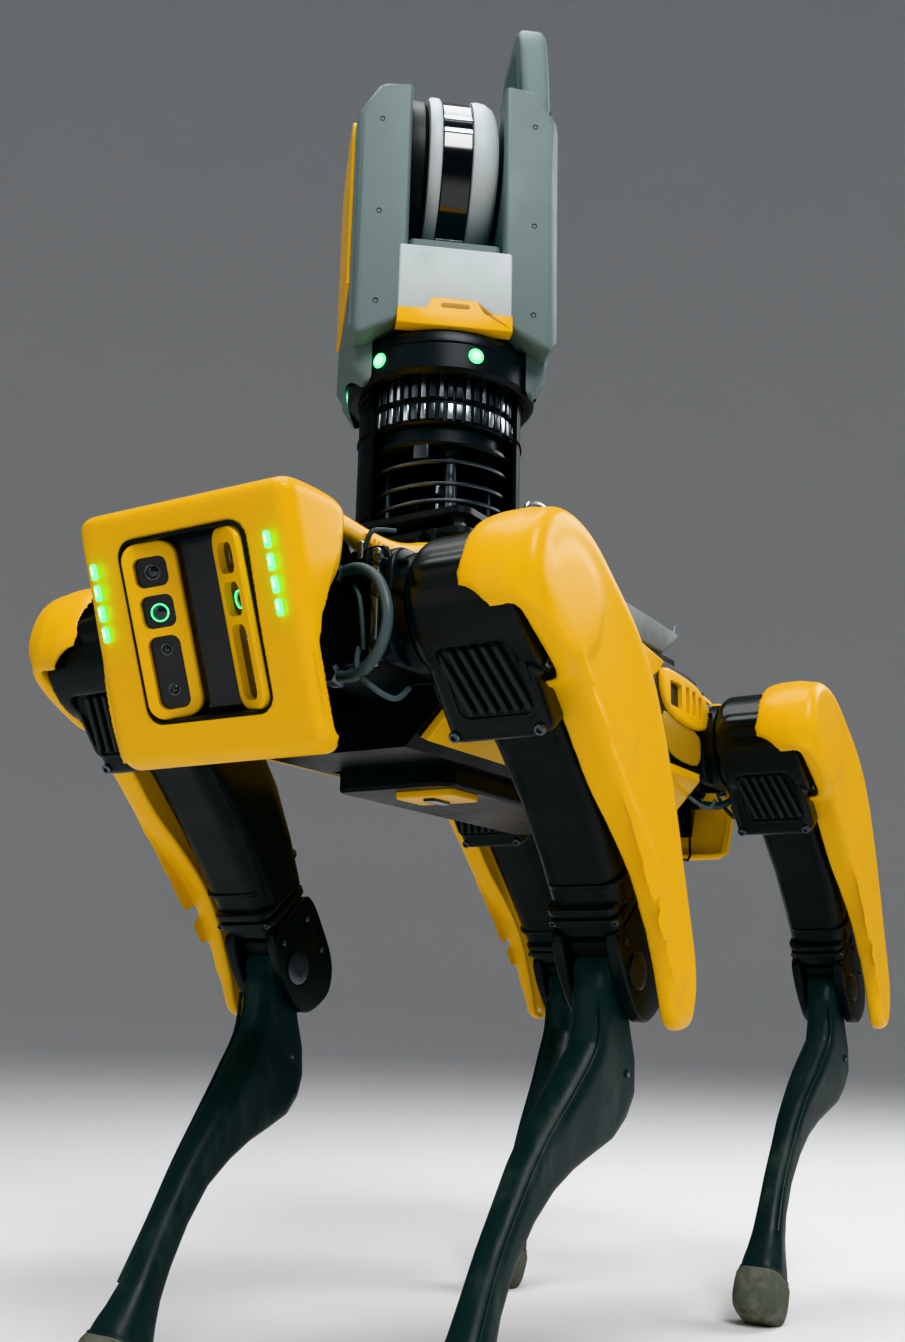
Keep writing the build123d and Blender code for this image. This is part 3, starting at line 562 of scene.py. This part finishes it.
def hip_link():
    """Yoke and outer plate, with connectors, a bright strip and bolts; leg frame, thigh angle zero."""
    plate = slab(rect(0, 0, 92, 88, 20), "y", -57, -46, r=3)
    ears, steel, bright, dark = [], [], [], []
    for s in (-1, 1):
        outline = curve(((-50, 36), (-80, 43), (-111, 46), (-140, 36), (-156, 0), (-140, -36), (-111, -46),
                         (-80, -43), (-50, -36)), 4)
        lo, hi = sorted((s * 37.5, s * 44))
        ears.append(slab(outline, "x", lo, hi, r=2))
        for k in range(6):
            a = radians(60 * k + 30)
            lo = s * 44
            u, v = -111 + 27 * cos(a), 27 * sin(a)
            steel.append(lathe([(3.6, lo), (3.6, lo + s * 2.4), (2.6, lo + s * 3.2), (1.4, lo + s * 3.2),
                                (0, lo + s * 1.4)], "x", u, v, 6))
        steel.append(lathe([(19, s * 44), (19, s * 46), (15, s * 47), (0, s * 47)], "x", -111, 0, 40))
        bright.append(slab(rect(-60, -4, 7, 88, 2), "x", *sorted((s * 43.5, s * 48)), r=0.8))
        dark.append(slab(rect(-72, 26, 16, 26, 3), "x", *sorted((s * 43, s * 52)), r=2))
        dark.append(slab(rect(-75, -22, 14, 30, 3), "x", *sorted((s * 43, s * 50)), r=2))
        for v in (30, 6, -34):
            lo = s * 47
            steel.append(lathe([(4.6, lo), (4.6, lo + s * 4), (3, lo + s * 5), (0, lo + s * 5)], "x", -56, v,
                               6))
        bright.append(slab(rect(-70, 38, 5, 14, 1.5), "x", *sorted((s * 50, s * 54)), r=0.8))
    drum = lathe(((0, -50), (44, -50), (46, -48), (46, -40), (43, -38), (43, -34), (0, -34)), "y")
    ribs = [slab(rect(0, z, 80, 2.6, 1), "y", -46, -40, r=0.6) for z in (-30, -18, 18, 30)]
    wires = []
    for s in (-1, 1):
        wires.append(pipe(curve(((s * 50, -70, -34), (s * 56, -66, -52), (s * 52, -54, -66),
                                 (s * 40, -44, -72), (s * 26, -42, -62)), 6, closed=False), 2.2, 8))
        wires.append(pipe(curve(((s * 50, -76, 12), (s * 57, -66, 0), (s * 57, -63, -18),
                                 (s * 50, -66, -36)), 6, closed=False), 1.8, 8))
        wires.append(pipe(curve(((s * 50, -68, 40), (s * 55, -58, 50), (s * 42, -47, 52)), 6, closed=False),
                          2.0, 8))
    return [
        ("black_metal", join(plate, drum, *ears, *ribs)),
        ("dark_steel", join(*steel)),
        ("bright_steel", join(*bright)),
        ("black_shell", join(*dark)),
        ("cable_grey", join(*wires)),
    ]


SHELL, BODY, DETAILS = thigh_shell(), thigh_body(), thigh_details()
SHIN, SHIN_BITS, FOOT, LINK = shin_body(), shin_details(), foot_pad(), hip_link()
for end_name, end in (("front", 1), ("rear", -1)):
    for side_name, side in (("left", 1), ("right", -1)):
        leg = f"{end_name}_{side_name}"
        hip = Matrix.Diagonal((1, side, 1, 1)) @ Matrix.Translation((end * HIP_X, LEG_Y, 0))
        thigh = hip @ Matrix.Rotation(radians(HIP_REST), 4, "Y")
        knee = thigh @ Matrix.Translation((0, 0, -THIGH))
        shin = knee @ Matrix.Rotation(radians(KNEE_REST), 4, "Y")
        piece(f"{leg}_hip_look", f"{leg}_hip", LINK, hip, (f"{leg}_hip_link",))
        piece(f"{leg}_shell_look", f"{leg}_thigh", [("yellow", SHELL)], thigh,
              (f"{leg}_thigh_shell",))
        piece(f"{leg}_thigh_look", f"{leg}_thigh", [("leg_black", BODY)] + DETAILS, thigh,
              (f"{leg}_thigh_frame",))
        piece(f"{leg}_shin_look", f"{leg}_shin", [("shin_black", SHIN)] + SHIN_BITS, shin,
              (f"{leg}_shin",))
        piece(f"{leg}_foot_look", f"{leg}_shin", [("foot_rubber", FOOT)], shin,
              (f"{leg}_foot",))


# ---- body ----
def hood(window):
    """End hood, drawn as the front one; its sides are cut back behind the leaning face."""
    profile = curve((
        (350, -105), (360, -88), (368, -70), (376, -46), (378, -24), (375, 0), (370, 24), (368, 46),
        (370, 62), (382, 69), (404, 70), (419, 68), (428, 61), (428, 51), (414, 13), (400, -27), (385, -66),
        (371, -102), (365, -110), (354, -114), (349, -111)), 3)

    def lead(u, v, w):
        forward = 15 * min(1.0, max(0.0, (u + 0.42 * (40 - v) - 385) / 24))
        return u + forward, v, w

    outer = slab(profile, "y", -99, 99, r=12, steps=5, rows=24, bend=lead)
    inside = slab(((330, 64), (402, 64), (415, 60), (420, 51), (363, -98), (356, -106), (330, -108)), "y",
                  -93, 93, rows=24, bend=lead)
    cuts = [inside]
    if window:
        cuts.append(on_face(slab(rect(0, 0, 118, 136, 14, 8), "z", -32, 40)))
    return worked(outer, cut=cuts, voxel=1.7, smooth=4, keep=0.5)


LEAN = radians(FACE_LEAN)
FACE = Matrix(((0, sin(LEAN), cos(LEAN), FACE_X), (1, 0, 0, 0), (0, cos(LEAN), -sin(LEAN), FACE_Z),
               (0, 0, 0, 1)))


def on_face(bm, shift=Matrix()):
    """Moves a part drawn in the plane of the leaning face onto the front hood."""
    bm.transform(FACE @ shift)
    return bm


def ring_plate(outer, holes, low, high, r):
    """Flat plate with holes through it and a rounded upper edge."""
    plate = slab(outer, "z", low, high, r=r, r_low=0)
    return worked(plate, cut=[slab(h, "z", low - 5, high + 5) for h in holes])


piece("front_hood_look", "root", [("yellow", hood(True))], hides=("front_cover",))
liner = on_face(ring_plate(rect(0, 0, 119, 137, 14, 8), [rect(0, 0, 113, 131, 11, 8)], -26, 3, 1))
centre = on_face(slab(rect(0, 0, 116, 134, 10), "z", -26, -16, r=2))
blocks = [slab(((346, 54), (400, 56), (404, 46), (352, -88), (346, -88)), "y", -62, 62, r=4)]
piece("sensor_block_look", "root", [("black_shell", join(liner, *blocks)),
                                                   ("gloss_black", centre)],
      hides=("sensor_module",))
frames, cups, glass, rings, lamps, cores = [], [], [], [], [], []
for side in (-1, 1):
    toe = Matrix.Translation((side * 37, 0, -6)) @ Matrix.Rotation(radians(-side * 27), 4, "Y")
    holes = [rect(0, 43, 25, 22, 6, 6), rect(0, 14, 25, 24, 6, 6), rect(0, -31, 24, 54, 7, 6)]
    frames.append(on_face(ring_plate(rect(0, 0, 41, 130, 13, 8), holes, -5, 4, 2), toe))
    cups.append(on_face(slab(rect(0, 0, 37, 126, 10), "z", -9, -1.5), toe))
    for v, r in ((43, 5.5), (13, 6.5), (-14, 4), (-44, 4)):
        glass.append(on_face(lathe(((0, -5), (r, -5), (r, -2.5), (r * 0.7, -1), (r * 0.35, -0.2), (0, 0)),
                                   "z", 0, v, 36), toe))
        rings.append(on_face(pipe([(r * cos(a * pi / 18), v + r * sin(a * pi / 18), -2) for a in range(36)],
                                  0.9, 8, True), toe))
    lamps.append(on_face(pipe([(6.2 * cos(a * pi / 18), 13 + 6.2 * sin(a * pi / 18), -0.8)
                               for a in range(36)], 0.5, 6, True), toe))
    for k in range(4):
        v = 50 - 15.5 * k
        lamps.append(on_face(slab(rect(side * 81, v, 4.4, 12, 2), "z", 5, 8.4, r=0.8)))
        cores.append(on_face(slab(rect(side * 81, v + 1, 2.4, 7, 1.1), "z", 7.6, 8.8, r=0.4)))
piece("bezel_look", "root", [("yellow", join(*frames)), ("gloss_black", join(*cups))],
      hides=("sensor_bezels",))
side_windows = []
for side in (-1, 1):
    side_windows.append(slab(rect(60, 20, 74, 26, 9), "y", *sorted((side * 117, side * 120.4)), r=1))
    side_windows.append(slab(rect(-112, 12, 40, 46, 9), "y", *sorted((side * 117, side * 119.6)), r=1))
piece("lens_look", "root", [("lens_glass", join(*glass)), ("dark_steel", join(*rings)),
                                          ("camera_blue", join(*side_windows))],
      hides=("camera_lenses",))
tail = hood(False)
tail.transform(Matrix.Diagonal((-1, 1, 1, 1)))
bmesh.ops.reverse_faces(tail, faces=tail.faces)
tail_panel = slab(rect(0, 0, 110, 96, 12), "z", 7.6, 9.4, r=0.8)
on_face(tail_panel)
tail_panel.transform(Matrix.Diagonal((-1, 1, 1, 1)))
bmesh.ops.reverse_faces(tail_panel, faces=tail_panel.faces)
piece("tail_hood_look", "root", [("yellow", tail), ("gloss_black", tail_panel)],
      hides=("rear_cover",))


def crowned_section(x, top, drop, half):
    """Section of the mid body's crowned cover, open below: outer line then inner line."""
    outer = [(-half, drop), (-half + 3, drop + 8), (-60, top - 1), (-40, top), (40, top), (60, top - 1),
             (half - 3, drop + 8), (half, drop)]
    inner = [(half - 5, drop), (half - 8, drop + 6), (56, top - 6), (-56, top - 6), (-half + 8, drop + 6),
             (-half + 5, drop)]
    return [Vector((x, y, z)) for y, z in outer + inner]


cover = skin([crowned_section(x, top, drop, half) for x, top, drop, half in (
    (-342, 88, 52, 99), (-335, 91, 54, 100), (-270, 95, 60, 100), (-180, 97, 64, 100), (-75, 97, 68, 100),
    (60, 97, 68, 100),
    (150, 97, 68, 100), (190, 95, 68, 98), (196, 92, 68, 96))])
cover = worked(cover, voxel=2.2, smooth=3, keep=0.4)
spine = slab(curve(((188, 97), (206, 94), (230, 86), (254, 81), (285, 80), (328, 82), (372, 78), (388, 72),
                    (388, 62), (372, 62),
                    (328, 64), (285, 63), (254, 66), (230, 70), (206, 76), (188, 78)), 4), "y", -60, 60, r=5,
                    rows=4)
ribs = []
for k in range(14):
    x = 214 + 6.2 * k
    z = 72 - 6 * sin(pi * (x - 200) / 130)
    for s in (-1, 1):
        ribs.append(slab(rect(x, z + 3, 2.8, 7, 1), "y", *sorted((s * 56, s * 61.5)), r=0.6))
flanks, strips, vents, dark_panels, clips = [], [], [], [], []
for s in (-1, 1):
    flanks.append(slab(((-20, 69), (-60, 52), (-78, 33), (-100, 30), (-140, 52), (-150, 66), (-90, 74)), "y",
                       *sorted((s * 95, s * 119)), r=3))
    outline = curve(((-138, 50), (-150, 58), (-190, 58), (-232, 54), (-258, 42), (-268, 27), (-258, 14),
                     (-236, 8), (-196, 8), (-160, 14), (-142, 28)), 4)
    holes = [rect(-172, 34, 30, 26, 3), rect(-203, 34, 9, 28, 2.5), rect(-220, 33, 9, 27, 2.5),
             rect(-237, 31, 9, 25, 2.5)]
    plate = slab(outline, "y", *sorted((s * 112, s * 123)), r=3)
    vents.append(worked(plate, cut=[slab(h, "y", *sorted((s * 117, s * 130))) for h in holes]))
    strips.append(pipe(curve(((-262, s * 116, 36), (-276, s * 112, 34), (-292, s * 104, 22),
                              (-300, s * 98, 6)), 5, closed=False), 4.5, 12))
    dark_panels.append(slab(curve(((-150, 14), (-232, 6), (-246, -8), (-236, -30), (-176, -30), (-150, -16)),
                                  3), "y", *sorted((s * 116, s * 119.4)), r=2))
    clips.append(slab(rect(160, 92, 22, 5, 2), "y", *sorted((s * 61, s * 74)), r=1))
piece("top_cover_look", "root", [("yellow", join(cover, spine, *ribs, *flanks, *strips)),
                                           ("panel_grey", join(*clips))],
      hides=("top_cover",))
piece("vent_look", "root", [("yellow", join(*vents)), ("yellow_dark", join(*dark_panels))],
      hides=("vent_grilles",))

panels, wedges, tabs = [], [], []
for s in (-1, 1):
    panels.append(slab(((-240, 60), (-244, -38), (244, -38), (240, 60), (210, 66), (-210, 66)), "y",
                       *sorted((s * 110, s * 118.4)), r=2))
    panels.append(slab(rect(60, 20, 92, 42, 14), "y", *sorted((s * 116, s * 119.4)), r=1))
    wedges.append(slab(((s * 112, -42), (s * 118.4, -38), (s * 118.4, -46), (s * 86, -82), (s * 78, -78)),
                       "x", -244, 238, r=2))
    tabs.append(pipe([(-305, s * 60, -84), (-305, s * 60, -112), (-312, s * 60, -116), (-350, s * 60, -116),
                      (-358, s * 60, -110), (-358, s * 60, -84)], 1.6, 8))
piece("side_panel_look", "root", [("black_shell", join(*panels, *tabs))],
      hides=("side_panels",))
latch = slab(rect(122, 22, 46, 60, 6), "z", -109.5, -103, r=1.4)
latch_bar = slab(rect(122, 22, 30, 12, 4), "z", -112, -108, r=1.2)
piece("lower_trim_look", "root", [("yellow", join(*wedges, latch)), ("gloss_black", latch_bar)],
      hides=("lower_trim",))

loops, glands = [], []
for end in (-1, 1):
    for s in (-1, 1):
        loops.append(pipe(curve(((end * 345, s * 70, 24), (end * 352, s * 96, 24), (end * 358, s * 118, 10),
                                 (end * 361, s * 129, -16),
                                 (end * 359, s * 122, -40), (end * 353, s * 100, -55),
                                 (end * 345, s * 72, -52)), 8, closed=False), 4.3, 16))
        for z in (23, -52):
            glands.append(lathe(((0, end * 340), (9, end * 340), (9, end * 348), (6, end * 353),
                                 (0, end * 353)), "x", s * 74, z, 6))
piece("cable_look", "root", [("cable_grey", join(*loops)), ("dark_steel", join(*glands))],
      hides=("hip_cables",))

# ---- mast ----
MAST = Matrix.Translation((MAST_X, 0, 0))
posts = [lathe(((0, 136), (8.5, 136), (8.5, 142), (5.6, 143), (5.6, 198), (8.5, 199), (8.5, 205), (0, 205)),
               "z", u, v, 28)
         for u in (-34, 34) for v in (-34, 34)]
spacers = [lathe(((0, 118), (7, 118), (7, 130), (0, 130)), "z", u, v, 6) for u in (-60, 60)
           for v in (-60, 60)]
inner_boxes = [slab(rect(0, 0, 40, 30, 4), "z", 137, 166, r=2),
               slab(rect(-10, 18, 22, 12, 3), "z", 137, 184, r=2),
               slab(rect(18, -14, 16, 18, 3), "z", 137, 178, r=2)]
plugs = [slab(rect(24, 20, 20, 4, 1.5), "z", z, z + 9, r=1) for z in (150, 168)]
stubs = [lathe(((0, 160), (2.6, 160), (2.6, 190), (0, 190)), "z", u, v, 12)
         for u, v in ((10, 24), (16, 24))]
piece("post_look", "root", [("dark_steel", join(*posts, *spacers)),
                                          ("black_shell", join(*inner_boxes)),
      ("bright_steel", join(*plugs, *stubs))], MAST, ("mount_posts",))
coils = []
for start, tilt, r in ((150, 5, 64), (166, 4, 65), (187, 3, 66)):
    coils.append(pipe([(r * cos(a * pi / 32), r * sin(a * pi / 32), start + tilt * sin(a * pi / 32))
                       for a in range(64)], 2.0, 10, True))
piece("coil_look", "root", [("dark_steel", join(*coils))], MAST, ("wire_coil",))
rings = []
for k in range(49):
    a = radians(40 + 62 + 236 * k / 48)
    rings.append([Vector((r * cos(a), r * sin(a), z)) for r, z in ((72.6, 136), (76, 137), (76, 269),
            (74.6, 271), (72.6, 271))])
guard = skin(rings)
bands = [pipe([(76.3 * cos(radians(102 + 236 * k / 48)), 76.3 * sin(radians(102 + 236 * k / 48)), z)
               for k in range(49)], 1.2, 8) for z in (142, 226, 264)]
piece("guard_look", "root", [("black_shell", join(guard, *bands))], MAST, ("mount_guard",))
sleeve = lathe(((0, 205), (66, 205), (68, 207), (68, 210), (66, 211), (62, 211.5), (62, 223), (56, 224),
                (56, 272), (0, 272)), "z")
tab = slab(rect(0, 0, 15, 6, 2), "z", 192, 212, r=1.5)
tab.transform(Matrix.Rotation(radians(18), 4, "Z") @ Matrix.Translation((63, 0, 0))
              @ Matrix.Rotation(radians(90), 4, "Z"))
piece("neck_look", "root", [("black_metal", sleeve), ("dark_steel", tab)], MAST,
      ("mount_neck",))
core = lathe(((56.2, 225), (67, 225), (68.6, 226.5), (68.6, 243.5), (67.4, 244.5), (67.4, 246.5),
              (68.6, 247.5), (68.6, 269), (67, 270.8), (56.2, 270.8)), "z", n=96)
core = worked(core, cut=(lathe(((0, 220), (56.1, 220), (56.1, 280), (0, 280)), "z", n=96),))
knurl = []
for k in range(54):
    a = 2 * pi * k / 54
    wide = 2.1 + 1.2 * ((k * 7) % 5) / 4
    for z0, z1 in ((227.5, 242.5), (248.5, 269)):
        rib = slab(rect(69.4, 0, 4, 2 * wide, 1), "z", z0, z1, r=0.8, steps=2)
        rib.transform(Matrix.Rotation(a, 4, "Z"))
        knurl.append(rib)
bright = [rib for i, rib in enumerate(knurl) if i % 5 in (1, 2)]
dull = [rib for i, rib in enumerate(knurl) if i % 5 not in (1, 2)]
piece("collar_look", "locking_collar",
      [("black_metal", core), ("dark_steel", join(*dull)), ("bright_steel", join(*bright))], MAST,
      ("locking_collar",))
base = lathe(((0, 272.4), (78, 272.4), (78, 266), (84, 266), (88, 270), (88, 293), (86.8, 294), (88, 295),
              (88, 301), (86, 305), (80, 308),
              (80, 313), (32.4, 314), (32.4, 286), (0, 286)), "z", n=96)
piece("base_ring_look", "root", [("black_metal", base)], MAST, ("scanner_base_ring",))
bulbs, halos = [], []
for k in range(6):
    turn = Matrix.Rotation(radians(-7 + 60 * k), 4, "Z")
    bulb = lathe(((0, 86), (4.6, 86), (4.6, 89.2), (3, 90), (0, 90.2)), "x", 0, 283, 28)
    halo = lathe(((0, 86), (7, 86), (7, 88.4), (5.6, 89), (0, 89)), "x", 0, 283, 28)
    bulb.transform(turn)
    halo.transform(turn)
    bulbs.append(bulb)
    halos.append(halo)
for part in bulbs + halos:
    part.transform(MAST)
piece("light_look", "root", [("green_light", join(*lamps, *halos)),
                                            ("green_core", join(*cores, *bulbs))],
      hides=("status_lights",))

# ---- scanner head ----
HEAD = MAST @ Matrix.Rotation(radians(HEAD_YAW), 4, "Z")


def tower(side, top):
    """Tower body with a bevelled outer edge, hung round the base ring in the middle."""
    y = side
    outline = [(y * 43.6, 320), (y * 80, 298), (y * 88, 297), (y * 95, 308), (y * 95, top - 42),
               (y * 93, top - 32),
               (y * 76, top - 4), (y * 70, top), (y * 43.6, top)]
    skirt = [(y * 60, 330), (y * 60, 268), (y * 78, 262), (y * 90, 280), (y * 94.4, 310), (y * 94.4, 330)]
    trims = [slab(((s * 71, y * 100), (s * 90, y * 100), (s * 90, y * 81)), "z", 240, top + 10)
             for s in (-1, 1)]
    foot = lathe(((0, 240), (90.4, 240), (90.4, 309), (0, 309)), "z", n=72)
    socket = lathe(((0, y * 43), (76, y * 43), (74, y * 49), (0, y * 49)), "y", 0, DRUM_Z, 48)
    return worked(slab(outline, "x", -83, 83, r=6, steps=4), merge=(slab(skirt, "x", -56, 56, r=8),),
                  cut=trims + [foot, socket])


def tower_bits(side, top):
    """Small dark screws on the bevelled corners."""
    screws = []
    for s in (-1, 1):
        for z in (330, 420, top - 40):
            screws.append(lathe(((0, s * 80), (2.6, s * 80), (2.6, s * 83.3), (1.6, s * 83.2), (1.4, s * 82),
                                 (0, s * 82)), "x", side * 72, z, 16))
    return join(*screws)


left = tower(1, 564)
grip_outline = curve(((-70, 540), (-68, 570), (-60, 615), (-50, 648), (-34, 666), (0, 668), (34, 666),
                      (50, 648), (60, 615), (68, 570), (70, 540)), 4,
                     closed=False)
grip_hole = curve(((-38, 578), (0, 575), (38, 578), (36, 620), (26, 645), (0, 649), (-26, 645), (-36, 620)),
                  4)
grip = worked(slab(grip_outline, "y", 62, 90, r=7), cut=(slab(grip_hole, "y", 50, 99),))
piece("left_tower_look", "scanner_head",
      [("scanner_grey", join(left, grip)), ("black_shell", tower_bits(1, 564))], HEAD,
      ("scanner_left_tower",))
piece("right_tower_look", "scanner_head",
      [("scanner_grey", tower(-1, 555)), ("black_shell", tower_bits(-1, 555))], HEAD,
      ("scanner_right_tower",))
faces, tabs_y, caps = [], [], []
for s in (-1, 1):
    faces.append(slab(rect(0, 356, 104, 66, 3), "x", *sorted((s * 70, s * 84)), r=1.6))
    outline = ((-52.5, 309.5), (52.5, 309.5), (52.5, 325), (27, 326), (20, 337), (-20, 337), (-27, 326),
               (-52.5, 325))
    tabs_y.append(slab(outline, "x", *sorted((s * 70, s * 86.4)), r=1.5))
    caps.append(slab(rect(0, 330, 26, 5, 2), "x", *sorted((s * 85.8, s * 86.7)), r=0.3))
piece("front_panel_look", "scanner_head", [("panel_grey", join(*faces))], HEAD,
      ("scanner_front_panel",))
side_plate = slab(curve(((-58, 350), (58, 350), (66, 372), (66, 500), (50, 524), (-50, 524), (-66, 500),
                         (-66, 372)), 3), "y", -98, -93, r=2)
piece("trim_look", "scanner_head", [("yellow", join(*tabs_y, side_plate)),
                                              ("yellow_dark", join(*caps))], HEAD, ("scanner_trim",))
rim_right = lathe(((0, 14), (78, 14), (81, 15), (82, 20), (81, 28), (77, 35), (70, 40), (60, 42), (0, 42)),
                  "y", 0, DRUM_Z, 96)
rim_left = lathe(((0, -27), (74, -27), (80, -26), (82, -23), (82, -17), (81, -15), (78, -14), (0, -14)), "y",
                 0, DRUM_Z, 96)
bars = []
for turn in (9, 21, 99, 111, 189, 201, 279, 291):
    bar = slab(rect(78.6, 0, 3, 27.6, 1), "z", -2.6, 2.6, r=0.8)
    bar.transform(Matrix.Translation((0, 0, DRUM_Z)) @ Matrix.Rotation(radians(-turn), 4, "Y"))
    bars.append(bar)
hub = lathe(((0, -52), (14.8, -52), (14.8, 52), (0, 52)), "y", 0, DRUM_Z, 36)
piece("drum_look", "mirror", [("panel_grey", join(rim_right, rim_left)), ("black_shell", hub),
                                            ("bright_steel", join(*bars))],
      HEAD, ("mirror_drum",))
band = lathe(((0, -14.5), (77.6, -14.5), (79, -13), (79, 13), (77.6, 14.5), (0, 14.5)), "y", 0, DRUM_Z, 96)
piece("window_look", "mirror", [("dark_glass", band)], HEAD, ("mirror_window",))
bearing = lathe(((0, -50), (70, -50), (76, -48), (77.5, -44), (77.5, -31), (75, -28.4), (0, -28.4)), "y", 0,
                DRUM_Z, 96)
bearing = worked(bearing, cut=(lathe(((0, -60), (15.2, -60), (15.2, -20), (0, -20)), "y", 0, DRUM_Z, 36),))
piece("bearing_look", "scanner_head", [("black_shell", bearing)], HEAD)

# ---- payload ----
case = slab(((18, 112), (18, 180), (10, 186), (-30, 190), (-42, 187), (-92, 160), (-100, 150), (-108, 112)),
            "y", -60, 60, r=4)
vanes = [slab(rect(x, 0, 4, 96, 1.5), "z", 181 - 0.5 * max(0, -34 - x), 189.5, r=1) for x in (-24, -14, -4)]
handle = pipe(curve(((6, 40, 186), (4, 44, 197), (-10, 47, 201), (-30, 47, 200), (-44, 44, 196),
                     (-48, 40, 184)), 6, closed=False), 2.4, 10)
piece("computer_look", "root", [("black_shell", join(case, *vanes)),
                                               ("bright_steel", handle)], hides=("payload_computer",))
wedge = slab(((-110, 112), (-112, 139), (-185, 147.4), (-330, 145.4), (-338, 142), (-326, 132), (-290, 112)),
             "y", -59, 59, r=3)
slats = [slab(rect(-128 - 13 * k, 0, 5, 100, 2), "z", 136, 149 - 0.08 * k, r=1) for k in range(15)]
rod = pipe([(-322, 50, 140), (-338, 52, 149), (-344, 52, 158)], 1.4, 8)
piece("wedge_look", "root", [("wedge_grey", join(wedge, *slats)), ("dark_steel", rod)],
      hides=("payload_wedge",))
